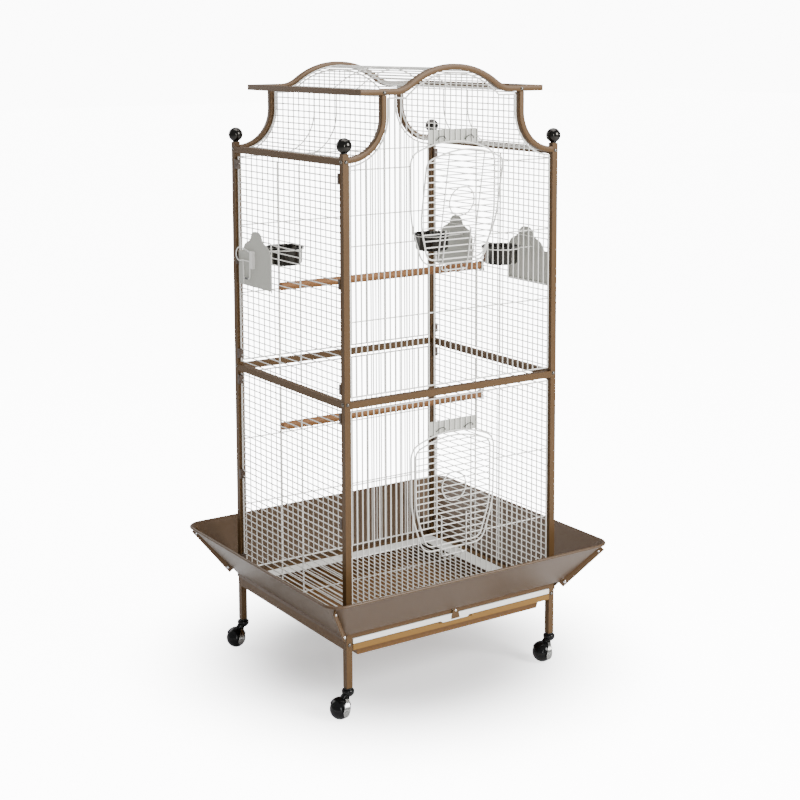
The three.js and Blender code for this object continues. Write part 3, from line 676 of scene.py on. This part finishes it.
# %% [markdown]
# ## Roof panels and the bent bars of the roof line
#
# A roof panel is straight wires from front to back, spaced evenly along the bent line, on four
# bent ribs. The bars of the frame are bent from square tube, so a rounded square is carried
# along the same line. They replace the CAD's coarser bars.


# %% Roof
def roof_panel(name, line, node):
    """Four ribs along the line, and wires across them at equal lengths along it."""
    ribs = {-PANEL_Y: THICK, -MIDWIRE_Y: FINE, MIDWIRE_Y: FINE, PANEL_Y: THICK}
    parts = [tube(in_xz(line, y), radius, (0, 1, 0), sides=8) for y, radius in ribs.items()]
    spots = by_length(line, PITCH)
    parts.append(rods(in_xz(spots, -PANEL_Y), in_xz(spots, PANEL_Y), FINE))
    return build(name, parts, WIRE_WHITE, "cage", replaces=[node])


def bent_bar(name, line, y, node):
    """A square tube with rounded edges, carried along a line."""
    section = rounded_rect(BAR, TUBE, 1.8)
    build(name, [sweep(in_xz(line, y), section, (0, 1, 0))], BRONZE, "cage",
          replaces=[node])


WING_FOOT, WIRES_IN = WING_Z - BAR / 2, 4       # underside of the wings; wires lie inside the bars
roof_panel("roof top wires", wing_line(WIRES_IN, 186), "roof_top_panel")
for side, sx in SIDES.items():
    roof_panel(f"{side} roof wires", curve_line(sx, WIRES_IN, WING_FOOT - 3),
               f"{side}_roof_panel")
for end, sy in ENDS.items():
    bent_bar(f"{end} arch bar round", wing_line(0, WING_X, 40), sy * POST_Y, f"{end}_arch_bar")
    for side, sx in SIDES.items():
        bent_bar(f"{end} {side} curved bar round", curve_line(sx, 0, WING_FOOT - 0.3),
                 sy * POST_Y, f"{end}_{side}_curved_bar")
print("roof line from", CURVE_C - CURVE_R, "to", ARCH_C + ARCH_R, "mm")

# %% [markdown]
# ## Doors
#
# Each door is its own loop, level wires, two full-height wires, a ring to grip, and a U wire
# whose bottom leg is the hinge. Its loop is the fixed loop moved inwards, so the gap between
# them is even. The upper door rests a little open, so its parts are turned about the hinge.


# %% Doors
DOOR_INSET, DOOR_Y, AJAR = 12.0, -260.3, 10.4
RING_R, U_HALF = 35.5, 37
RING_UP, U_UP = 154, 84             # heights above the loop's foot


def door(level):
    """Level wires between the crossings of their own line with the loop, and the rest on it."""
    loop_z = LOOPS[level]
    outline = rounded(inset(LOOP + [0, loop_z, 0], DOOR_INSET), 10)
    parts = [tube(in_xz(outline, DOOR_Y), THICK, (0, 1, 0), closed=True)]
    levels = np.arange(loop_z + DOOR_INSET + PITCH, outline[:, 1].max() - 5, PITCH)
    rows = [row for z in levels for row in stretches(outline, None, z, 1)]
    parts.append(spans(rows, X, Z, DOOR_Y, FINE))
    for x in (-51.0, 51.0):
        parts.append(spans(stretches(outline, None, x, 0), Z, X, DOOR_Y - 2.6, FINE))
    a = np.linspace(0, 2 * np.pi, 40, endpoint=False)
    ring = np.stack([RING_R * np.cos(a), loop_z + RING_UP + RING_R * np.sin(a)], axis=1)
    parts.append(tube(in_xz(ring, DOOR_Y - 2.7), FINE, (0, 1, 0), closed=True))
    hinge, top = loop_z - HINGE_DROP, loop_z + U_UP
    u_wire = rounded([[U_HALF, top, 0], [U_HALF, hinge, 7], [-U_HALF, hinge, 7],
                      [-U_HALF, top, 0]], 6, closed=False)
    parts.append(tube(in_xz(u_wire, HINGE_Y), FINE, (0, 1, 0)))
    if level == "upper":
        turn = Matrix.Rotation(math.radians(AJAR), 3, "X")
        pivot = np.array([0, HINGE_Y, hinge])
        parts = [moved(moved(part, shift=-pivot), turn, pivot) for part in parts]
    return build(f"{level} door wires", parts, WIRE_WHITE, f"{level}_door",
                 replaces=[f"{level}_door"])


for level in LOOPS:
    made = door(level)
    print(made.name, len(made.data.polygons), "faces")

# %% [markdown]
# ## Feeder doors and cups
#
# A feeder door is a plate with a crest-shaped top that swings out with its latch, its ring and
# the cup in it. Plate, wires, latch and bowl are separate pieces: the first three ride on the
# door's body, and the bowl rides on its own, because it lifts out.

# %% Feeder dimensions
FEEDERS = {"left": (-1, 1), "back_right": (1, 1), "front_right": (1, -1)}
FEED_Y, FEED_Z, PLATE_X, PLATE_T = 150.0, 969.0, 308.4, 1.5
CUP_IN, RING_R_IN, RING_Z = 77.0, 47.2, 1064.0  # the ring's middle, radius and top
HINGE_AT = 77                                   # where the hinge wire runs, from the cage's middle
CREST = np.array([[93, 0, 2], [93, 86, 2], [73, 86, 0.5], [73, 87, 0.5], [60, 106, 5],
                  [37, 116, 4], [31, 119, 3], [22, 141.5, 15], [-22, 141.5, 15], [-31, 119, 3],
                  [-37, 116, 4], [-60, 106, 5], [-73, 87, 3], [-73, 0, 2]], float)
CUP = [(0.01, -42), (36, -42), (40, -41), (43, -38), (44.2, -34), (44.6, 0), (45.4, 1.6),
       (48, 1.4), (49.4, 2), (49.4, 3.2), (48, 4.2), (45.5, 4.4), (43.8, 3.2), (43.2, 0),
       (42.8, -33), (41.5, -37.5), (38, -40.2), (0.01, -40.4)]
print("bowl profile:", len(CUP), "points")


# %% Feeders
def feeder_latch(name, sx, sy):
    """A block, a spring wire that hooks past the plate's edge, and a U wire to pull, outside."""
    outside, out = sx * (PLATE_X + PLATE_T), sx * (PLATE_X + PLATE_T + 5)

    def at(x, along, up):
        return [x, sy * (FEED_Y + along), FEED_Z + up]

    def bent(bends):
        corners = [[*at(out, along, up), cut] for along, up, cut in bends]
        return tube(rounded(corners, 6, closed=False), FINE, (1, 0, 0))

    low, high = at(outside, 8, 47), at(out + sx * 3, 22, 91)
    block = box(np.minimum(low, high), np.maximum(low, high))
    spring = bent([(15, 86, 0), (60, 95, 12), (86, 96, 12), (97, 84, 8), (97, 68, 8),
                   (84, 60, 9), (60, 64, 9), (15, 64, 0)])
    pull = bent([(26, 66, 0), (26, 19, 8), (60, 19, 8), (60, 66, 0)])
    stay = rods(at(outside + sx, 65, 1), at(outside + sx, 65, 50), FINE)
    body = f"{name}_feeder"
    build(f"{name} feeder latch", [block, spring, pull, stay], OFF_WHITE, body, bevel=0.5)
    sleeve = rods(at(out, 35, 19), at(out, 51, 19), 2.3, 12)
    build(f"{name} latch sleeve", [sleeve], BLACK, body)


def feeder_wires(name, sx, sy):
    """The ring, its two arms to the plate, and the hinge wire along the plate's edge."""
    middle, level = sx * (POST_X - CUP_IN), RING_Z - FINE
    a = np.linspace(0, 2 * np.pi, 48, endpoint=False)
    hoop = np.stack([middle + RING_R_IN * np.cos(a), sy * FEED_Y + RING_R_IN * np.sin(a),
                     np.full(48, level)], axis=1)
    wires = [tube(hoop, FINE, (0, 0, 1), closed=True)]
    for y in (sy * FEED_Y - 30.0, sy * FEED_Y + 30.0):
        wires.append(rods([middle + sx * 37, y, level], [sx * (PLATE_X + 0.2), y, level], FINE))
    hinge = sx * PLATE_X, sy * HINGE_AT
    wires.append(rods([*hinge, FEED_Z - 4], [*hinge, FEED_Z + 92], FINE))
    build(f"{name} feeder wires", wires, WIRE_WHITE, f"{name}_feeder")


def feeder(name, sx, sy):
    """The crest outline carried through the plate's thickness, and the bowl's profile turned."""
    shape = rounded(CREST, 4)
    shape = np.stack([sy * (FEED_Y + shape[:, 0]), FEED_Z + shape[:, 1]], axis=1)
    near, far = sorted((sx * PLATE_X, sx * (PLATE_X + PLATE_T)))
    build(f"{name} feeder plate", [prism(shape, near, far, "x")], PLATE_GREY, f"{name}_feeder",
          bevel=0.4, replaces=[f"{name}_feeder_door"])
    feeder_wires(name, sx, sy)
    feeder_latch(name, sx, sy)
    cup = lathe(CUP, (sx * (POST_X - CUP_IN), sy * FEED_Y, RING_Z + 0.3), sides=56)
    build(f"{name} feeder bowl", [cup], STEEL_PAINTED_REFLECTIONS, f"{name}_cup",
          replaces=[f"{name}_feeder_cup"])


for name, (sx, sy) in FEEDERS.items():
    feeder(name, sx, sy)
print(len(FEEDERS), "feeders built")

# %% [markdown]
# ## Perches
#
# A perch is a turned stick whose thin end passes the wires and is held by a wing nut and a big
# washer outside. The nut is drawn lying flat and then turned to face along the perch.

# %% Perches
PERCHES, PERCH_Y, PERCH_END = {"upper": 987.0, "lower": 637.0}, 40, 304
NUT_WING = np.array([[-3, 3], [-15, 9], [-16, 13], [-12, 13], [3, 8]])
for name, z in PERCHES.items():
    stick = [(0.01, -PERCH_END), (9, -PERCH_END), (10, 1 - PERCH_END), (10, PERCH_END - 1),
             (9, PERCH_END), (0.01, PERCH_END)]
    build(f"{name} perch round", [lathe(stick, (0, PERCH_Y, z), "x", 32)], WOOD, "cage",
          replaces=[f"{name}_perch"])
    washer = lathe([(3, 0), (13, 0), (13, 1.4), (3, 1.4)], (POST_X + 2, PERCH_Y, z), "x", 24)
    hub = lathe([(0.01, 0), (5.5, 0), (5, 8), (3.5, 9), (0.01, 9)], (POST_X + 3.4, PERCH_Y, z),
                "x", 16)
    turn = Matrix.Rotation(math.pi / 2, 3, "Y")
    wings = [moved(prism(NUT_WING * [s, 1], -1, 1, "y"), turn, (POST_X + 3, PERCH_Y, z))
             for s in (-1, 1)]
    made = build(f"{name} perch wing nut", [washer, hub, *wings], CHROME, "cage")
    print(made.name, len(made.data.polygons), "faces")

# %% [markdown]
# ## Seed skirt
#
# Each side is a thin sloping sheet with a rolled rim, which throws seed back onto the grille.
# Its outline is a rounded rectangle whose corner radius grows with its offset from the posts,
# and each piece runs from one corner's middle to the next. One side is worked out, and the
# other three are that side turned by quarter turns.

# %% Skirt
SKIRT_LOW, SKIRT_RIM = (1.0, 196.0), (96.0, 317.0)      # offset from the posts, and height
CORNER_SHARE = 0.4                                      # corner radius for each mm of offset
SHEET, ROLL_R = 1.2, 3.7
FLANGE_Z, FRONT_CUT_Z = 187, 211    # foot of the flange, and of the front, above the drawers


def skirt_profile(cut, flange):
    """The sheet from its lower edge to its rolled rim; a flange below laps over the stand rail."""
    (o0, z0), (o1, z1) = SKIRT_LOW, SKIRT_RIM
    low = o0 + (o1 - o0) / (z1 - z0) * (cut - z0)
    a = np.linspace(-0.75 * np.pi, 0.62 * np.pi, 9)
    roll = np.stack([o1 + 4.2 + ROLL_R * np.cos(a), z1 - 0.2 + ROLL_R * np.sin(a)], axis=1)
    lap = [[low, FLANGE_Z], [low + SHEET, FLANGE_Z]] if flange else []
    return np.concatenate([[*lap, [low + SHEET, cut - 1]], roll, [[o1, z1]], [[low, cut]]])


def skirt_side(profile, half_length, half_depth, steps=7):
    """Point = rounded rectangle at the profile's offset: the corner's arc, then the straight."""
    o, z = profile[:, 0], profile[:, 1]
    radius = np.clip(o, 0.5, None) * CORNER_SHARE
    a = np.linspace(0, np.pi / 4, steps)[:, None]
    x = half_length + o - radius + radius * np.sin(a) - 0.3
    y = -(half_depth + o - radius + radius * np.cos(a))
    right = np.stack([x, y, z + 0 * a], axis=-1)
    rows = np.concatenate([(right * [-1, 1, 1])[::-1], right])
    count = len(profile)
    last = (len(rows) - 1) * count
    faces = quads(len(rows), count).tolist()
    faces += [list(range(count)), list(range(last, last + count))]
    return rows.reshape(-1, 3), faces


for turns, name in enumerate(("front", "right", "back", "left")):
    half = (FACE_X, FACE_Y) if name in ENDS else (FACE_Y, FACE_X)
    front = name == "front"
    sheet = skirt_side(skirt_profile(FRONT_CUT_Z if front else SKIRT_LOW[1], not front), *half)
    turned = moved(sheet, Matrix.Rotation(math.radians(90 * turns), 3, "Z"))
    made = build(f"{name} skirt sheet", [turned], SKIRT_COAT, "cage",
                 replaces=[f"{name}_skirt"])
    print(made.name, len(made.data.polygons), "faces")

# %% [markdown]
# A flat fin stands outwards on each corner and clamps two sheets together. It follows the line
# down the middle of the corner, which comes from the same offsets as the sheets.


# %% Corner fins
FIN_T, OUTWARDS, DOWNWARDS = 3.6, 0.55, 0.6     # thickness, and the way out of a sloping corner


def corner_line(sx, sy, offsets, out=0.0):
    """Points down the middle of a skirt corner: offsets from the posts, moved outwards by out."""
    (o0, z0), (o1, z1) = SKIRT_LOW, SKIRT_RIM
    o = np.array(offsets, float)
    reach = o * (1 - CORNER_SHARE * (1 - math.sqrt(0.5))) + out * OUTWARDS
    z = z0 + (z1 - z0) / (o1 - o0) * (o - o0) - out * DOWNWARDS
    return np.stack([sx * (FACE_X + reach), sy * (FACE_Y + reach), z], axis=1)


for name, (sx, sy) in CORNERS.items():
    line = corner_line(sx, sy, (9, 91), 7.5)
    fin = sweep(line, rounded_rect(FIN_T, 19, 0.8), (sx, sy, 1.2))
    build(f"{name} corner fin", [fin], BRONZE, "cage", bevel=0.4)
print(len(CORNERS), "corner fins")

# %% [markdown]
# ## Grille drawer and its swivel tab
#
# The birds stand above a grille, so that what they drop falls into the tray below. Its wires are
# welded to a sheet apron. The drawer's white front strip has a lip to pull in the middle and an
# ear above it, and a tab swivels on the ear to keep both drawers shut.

# %% Drawers
WELL = (-248.0, 248.0, -225.0, 205.0)           # opening in the apron: x from and to, y from and to
DRAWER_X, DRAWER_Y0, DRAWER_Y1, GRILLE_R = 294.5, -267.4, 248.0, 1.25
APRON_Z, STRIP_X = (189.6, 190.8), 295.5
LONG_WIRES, LONG_Z, CROSS_YS, CROSS_Z, LAP = 30, 190.0, (-74.0, 70.0), 187.7, 4
left, right, near, far = WELL
long_wires = [(near - LAP, far + LAP, x) for x in np.linspace(left, right, LONG_WIRES + 2)[1:-1]]
cross_wires = [(left - LAP, right + LAP, y) for y in CROSS_YS]
grille = [spans(long_wires, Y, X, LONG_Z, GRILLE_R), spans(cross_wires, X, Y, CROSS_Z, GRILLE_R)]
for (x0, x1), (y0, y1) in (((-DRAWER_X, DRAWER_X), (DRAWER_Y0, near)),
                           ((-DRAWER_X, DRAWER_X), (far, DRAWER_Y1)),
                           ((-DRAWER_X, left), (near, far)), ((right, DRAWER_X), (near, far))):
    grille.append(box((x0, y0, APRON_Z[0]), (x1, y1, APRON_Z[1])))
build("floor grille wires", grille, WIRE_WHITE, "grille_drawer",
      replaces=["floor_grille"])

STRIP_LOW, STRIP_TOP, LIP_Z, EAR_Z = 179.5, 192, 175, 205
STRIP = np.array([[-STRIP_X, STRIP_LOW], [-43, STRIP_LOW], [-37, LIP_Z], [37, LIP_Z],
                  [43, STRIP_LOW], [STRIP_X, STRIP_LOW], [STRIP_X, STRIP_TOP], [7, STRIP_TOP],
                  [7, EAR_Z], [-7, EAR_Z], [-7, STRIP_TOP], [-STRIP_X, STRIP_TOP]])
strip = prism(STRIP, DRAWER_Y0 - 1.5, DRAWER_Y0)
build("drawer strip", [strip], OFF_WHITE, "grille_drawer",
      replaces=["grille_drawer_front"])
TAB_Y = DRAWER_Y0 - 3.3                         # front face of the tab
tab = prism([[-12.5, 179], [12.5, 179], [7.5, 204.5], [-7.5, 204.5]], TAB_Y, TAB_Y + 1.5)
build("swivel tab", [tab], BRONZE, "drawer_latch", bevel=0.4,
      replaces=["drawer_latch"])
print(len(long_wires) + len(cross_wires), "grille wires")

# %% [markdown]
# ## Bolts and clips
#
# All the bolts have low round heads. One profile is turned about the face's outward normal at
# every spot, at its own scale.

# %% Bolts
DOME = [(0.01, 3.2), (1.8, 3.0), (3.4, 2.2), (4.4, 0.8), (4.6, 0), (0.01, 0)]


def bolts(name, spots, material, body="cage", scale=1.0):
    """Round bolt heads: each spot is a point on the face and the face's outward normal."""
    parts = []
    for point, normal in spots:
        head = lathe(np.array(DOME) * scale, sides=14)
        z = np.array(normal, float)
        side = np.cross(z, [0, 0, 1] if abs(z[2]) < 0.9 else [1, 0, 0])
        parts.append(moved(head, np.stack([side, np.cross(z, side), z], axis=1), point))
    return build(name, parts, material, body)


for name, (sx, sy) in CORNERS.items():
    across = unit(np.array([sy, -sx, 0.0])) * sx * sy
    for word, place, scale in (("top", 84, 0.75), ("low", 16, 1.0)):
        spot = corner_line(sx, sy, (place, place), 9.5)[0]
        heads = [(spot + across * FIN_T / 2, across), (spot - across * FIN_T / 2, -across)]
        bolts(f"{name} {word} fin bolt", heads, CHROME, scale=scale)
bolts("swivel tab screw", [((0, TAB_Y, 199), (0, -1, 0))], CHROME, "drawer_latch", scale=0.75)

spots = []
for sx, sy in CORNERS.values():
    for z in (1312.0, 752.0):
        spots.append(((sx * POST_X, sy * FACE_Y, z), (0, sy, 0)))
        spots.append(((sx * FACE_X, sy * POST_Y, z), (sx, 0, 0)))
    spots.append(((sx * POST_X, sy * FACE_Y, 178), (0, sy, 0)))
    spots.append(((sx * 199.5, sy * FACE_Y, WING_Z - 1), (0, sy, 0)))
bolts("frame bolts", spots, PEWTER)
print(len(spots), "frame bolts")

# %% [markdown]
# Small dark clips hold the side panels to the posts, at the same heights at all four corners.

# %% Clips
CLIP_ZS, CLIP_Y, CLIP_HALF = (1274.0, 1031.0, 786.0, 718.0, 467.0, 240.0), 247, (4, 12)
clips = []
for sx, sy in CORNERS.values():
    near, far = sorted((sx * (POST_X - 3), sx * (FACE_X + 1.5)))
    for z in CLIP_ZS:
        clips.append(box((near, sy * CLIP_Y - CLIP_HALF[0], z - CLIP_HALF[1]),
                         (far, sy * CLIP_Y + CLIP_HALF[0], z + CLIP_HALF[1])))
build("panel clips", clips, DARK_BROWN, "cage", bevel=0.8)
print(len(clips), "clips")

# %% [markdown]
# ## Ball finials
#
# Each post ends in a dark plated ball on a short neck: one profile turned about the post.

# %% Finials
FINIAL_R, FINIAL_Z = 18, 1348.7
a = np.linspace(-1.15, np.pi / 2, 18)
BALL = np.stack([FINIAL_R * np.cos(a), FINIAL_Z + FINIAL_R * np.sin(a)], axis=1)
BALL[-1, 0] = 0.01
NECK = [(0.01, POST_TOP + 0.3), (7.5, POST_TOP + 0.3), (7.5, POST_TOP + 1.5)]
FINIAL = np.concatenate([NECK, BALL])
print("finials reach", FINIAL_Z + FINIAL_R, "mm")


def finial(name, sx, sy):
    """The neck and ball profile turned about the post's own axis."""
    turned = lathe(FINIAL, (sx * POST_X, sy * POST_Y, 0), sides=36)
    build(f"{name} finial round", [turned], DARK_CHROME, "cage",
          replaces=[f"{name}_ball_finial"])


# %% [markdown]
# ## Ball casters
#
# A caster is a ball on an axle under a hood that hangs off one side of its stem, so it trails.
# The ball rolls and the hood swivels, so they are separate pieces on separate bodies. A plated
# strap hugs the ball from the hood down to the axle.

# %% Caster parts
BALL_R, TRAIL = 25.0, 22.0                      # the ball, and how far it hangs behind the stem
HOOD_OUT, HOOD_IN, HOOD_REACH, HOOD_TILT = 27.6, 26.2, 1.12, 6
STEM = [(0.01, 52), (9, 52), (12, 55), (14.6, 59), (15, 65), (13, 68), (9.5, 69), (9.5, 71.7),
        (0.01, 71.7)]
STRAP_R, STRAP_T, STRAP_ROWS = 28.4, 1.04, 20


def caster_ball(name, centre):
    """A half circle turned about the axle."""
    a = np.linspace(-np.pi / 2, np.pi / 2, 25)
    half = np.stack([BALL_R * np.cos(a), BALL_R * np.sin(a)], axis=1)
    half[[0, -1], 0] = 0.01
    build(f"{name} caster ball round", [lathe(half, centre, "y", 40)], BLACK, f"{name}_ball",
          replaces=[f"{name}_caster_ball"])


def caster_hood(name, centre, stem_x):
    """Two arcs, out and back, turned into a shell; a stem on the swivel; a rod between them."""
    reach = np.linspace(0, HOOD_REACH, 10)
    arc = np.stack([np.sin(reach), np.cos(reach)], axis=1)
    shell = np.concatenate([HOOD_OUT * arc, HOOD_IN * arc[::-1]])
    shell[[0, -1], 0] = 0.01
    shell = moved(lathe(shell, sides=40), Matrix.Rotation(math.radians(HOOD_TILT), 3, "Y"), centre)
    stem = lathe(STEM, (stem_x, centre[1], 0), sides=28)
    neck = moved(rods([6, 0, 19], [20, 0, 33], 9.5, 24), shift=centre)
    build(f"{name} caster hood round", [shell, stem, neck], BLACK, f"{name}_swivel",
          bevel=0.5, replaces=[f"{name}_caster_hood"])


def caster_strap(name, centre):
    """Point = an arc round the ball, at both edges of a width that changes along it, leaning
    towards the stem as it climbs; and the axle's round end."""
    arc = np.linspace(-0.44, 1.5, STRAP_ROWS)
    middle = np.stack([0 * arc, -STRAP_R * np.cos(arc), STRAP_R * np.sin(arc)], axis=1)
    width = np.interp(arc, [-0.44, -0.36, -0.2, 0.1, 0.4, 0.75, 1.1, 1.5],
                      [2, 5, 8, 9, 7, 4.5, 5, 9])
    lean = np.interp(arc, [0, 0.4, 1.1, 1.5], [0, 3, 12, 17])
    along_x = np.array([1, 0, 0])
    inner = np.stack([middle + along_x * (lean - width)[:, None],
                      middle + along_x * (lean + width)[:, None]], axis=1)
    outer = inner * [1, STRAP_T, STRAP_T]
    rows = np.concatenate([inner, outer[:, ::-1]], axis=1)
    last = 4 * (STRAP_ROWS - 1)
    faces = quads(STRAP_ROWS, 4).tolist() + [list(range(4)), list(range(last, last + 4))]
    strap = moved((rows.reshape(-1, 3), faces), shift=centre)
    hub = lathe([(0.01, -30.6), (3.6, -30.6), (4.6, -29.6), (4.6, -27), (0.01, -27)], centre,
                "y", 20)
    build(f"{name} caster strap", [strap, hub], STRAP_STEEL, f"{name}_swivel")


print("ball casters:", 2 * BALL_R, "mm across")

# %% Finials and casters
for name, (sx, sy) in CORNERS.items():
    finial(name, sx, sy)
    centre = np.array([sx * POST_X - TRAIL, sy * POST_Y, BALL_R])
    caster_ball(name, centre)
    caster_hood(name, centre, sx * POST_X)
    caster_strap(name, centre)
    print(name, "ball at", centre)

# %% [markdown]
# ## Finishes of the CAD's own pieces
#
# Posts, rails, the stand and the tray are shown as the CAD has them. Their square edges get a
# live bevel, so that they catch the light as a coated steel tube does.

# %% CAD finishes
BEVELS = {"post": 1.0, "rail": 1.0, "stand_frame": 1.0, "debris_tray": 0.5}
for name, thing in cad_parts.items():
    thing.data.materials.clear()
    thing.data.materials.append(TRAY_GOLD_PAINTED_SHADE if name == "debris_tray" else BRONZE)
    width = next((w for word, w in BEVELS.items() if word in name), None)
    if width and not thing.hide_render:
        soften(thing, width)
print(len(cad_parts), "CAD nodes finished")

# %% [markdown]
# ## Floor and surroundings
#
# The cage stands in a white studio. The floor and the world look bright to the camera only:
# what they shed on the cage is much dimmer, so the pale wires keep their shading.


# %% Stage
SEEN, SHED = 11.0, 0.56             # brightness of the white seen, and of the light it sheds


def stage_floor():
    """A pale floor that fades to bright white away from the cage, to the camera only."""
    material = coat("Pale floor", (0.93, 0.93, 0.93), (0.91, 0.91, 0.91), 0.7)
    nodes, links = material.node_tree.nodes, material.node_tree.links
    shader = nodes["Principled BSDF"]
    place, away = nodes.new("ShaderNodeTexCoord"), nodes.new("ShaderNodeVectorMath")
    fade, ray = nodes.new("ShaderNodeMapRange"), nodes.new("ShaderNodeLightPath")
    seen = nodes.new("ShaderNodeMath")
    away.operation, seen.operation, fade.interpolation_type = "LENGTH", "MULTIPLY", "SMOOTHERSTEP"
    put(fade, From_Min=0.2, From_Max=0.8, To_Min=0.5, To_Max=SEEN)
    put(shader, Emission_Color=(1, 1, 1, 1))
    join(links, (place, "Object", away, 0), (away, "Value", fade, "Value"),
                (fade, "Result", seen, 0), (ray, "Is Camera Ray", seen, 1),
                (seen, "Value", shader, "Emission Strength"))
    mesh = bpy.data.meshes.new("floor")
    far = 30
    mesh.from_pydata([(-far, -far, 0), (far, -far, 0), (far, far, 0), (-far, far, 0)], [],
                     [(0, 1, 2, 3)])
    mesh.materials.append(material)
    floor = bpy.data.objects.new("floor", mesh)
    bpy.context.scene.collection.objects.link(floor)


def studio_world(seen, shed):
    """White all round: strength seen by the camera, and strength shed on the cage."""
    world = bpy.data.worlds.new("Soft studio")
    world.use_nodes = True
    nodes, links = world.node_tree.nodes, world.node_tree.links
    dim, bright = nodes["Background"], nodes.new("ShaderNodeBackground")
    ray, choose = nodes.new("ShaderNodeLightPath"), nodes.new("ShaderNodeMixShader")
    for node, strength in ((dim, shed), (bright, seen)):
        put(node, Color=(1, 1, 1, 1), Strength=strength)
    join(links, (ray, "Is Camera Ray", choose, "Fac"), (dim, "Background", choose, 1),
                (bright, "Background", choose, 2),
                (choose, "Shader", nodes["World Output"], "Surface"))
    bpy.context.scene.world = world


stage_floor()
studio_world(SEEN, SHED)
print("stage is", SEEN / SHED, "times brighter to the camera than to the cage")

# %% [markdown]
# ## Light and camera
#
# A broad key light stands at the right front, a broad light hangs above, a dim one behind lifts
# the inside of the skirt, and a tall strip draws a line of shine down the posts and finials.


# %% Light and camera
def placed(side, over, back, place):
    """A world matrix from three axes and a place."""
    rows = np.eye(4)
    rows[:3, :3] = np.stack([side, over, back], axis=1)
    rows[:3, 3] = place
    return Matrix(rows.tolist())


def area_light(name, place, target, size, power):
    """A soft light at place, facing target; size is its width and its height."""
    data = bpy.data.lights.new(name, "AREA")
    data.shape = "RECTANGLE"
    data.size, data.size_y = size
    data.energy = power
    lamp = bpy.data.objects.new(name, data)
    back = unit(np.array(place, float) - np.array(target, float))
    side = unit(np.cross([0, 0, 1], back))
    lamp.matrix_world = placed(side, np.cross(back, side), back, place)
    bpy.context.scene.collection.objects.link(lamp)


area_light("Key", (2.0, -3.6, 2.6), (0, 0, 0.8), (2.0, 2.0), 330)
area_light("Top", (0.4, 0.2, 4.2), (0, 0, 0.5), (3.0, 3.0), 160)
area_light("Back", (-1.0, 2.8, 2.0), (0, 0, 0.4), (2.2, 1.6), 36)
area_light("Strip", (-1.9, -3.9, 1.5), (0, 0, 1.0), (0.22, 2.4), 45)

CAMERA_AT, YAW, PITCH_DOWN, ROLL = (-2.1404, -3.1891, 1.5942), 0.5694, 0.119, -0.0063
LENS_MM, SHIFT_X, SHIFT_Y = 69.0435, 0.0507, -0.2254375
ahead = np.array([math.sin(YAW) * math.cos(PITCH_DOWN), math.cos(YAW) * math.cos(PITCH_DOWN),
                  -math.sin(PITCH_DOWN)])
level = np.array([math.cos(YAW), -math.sin(YAW), 0.0])
over = np.cross(level, ahead)
side_axis = level * math.cos(ROLL) + over * math.sin(ROLL)
over_axis = -level * math.sin(ROLL) + over * math.cos(ROLL)
lens = bpy.data.cameras.new("Camera")
lens.lens, lens.shift_x, lens.shift_y = LENS_MM, SHIFT_X, SHIFT_Y
lens.clip_end = 100
camera = bpy.data.objects.new("Camera", lens)
camera.matrix_world = placed(side_axis, over_axis, -ahead, CAMERA_AT)
bpy.context.scene.collection.objects.link(camera)
bpy.context.scene.camera = camera
print("camera at", tuple(round(v, 3) for v in camera.location))

# %% Finish
bpy.context.view_layer.update()
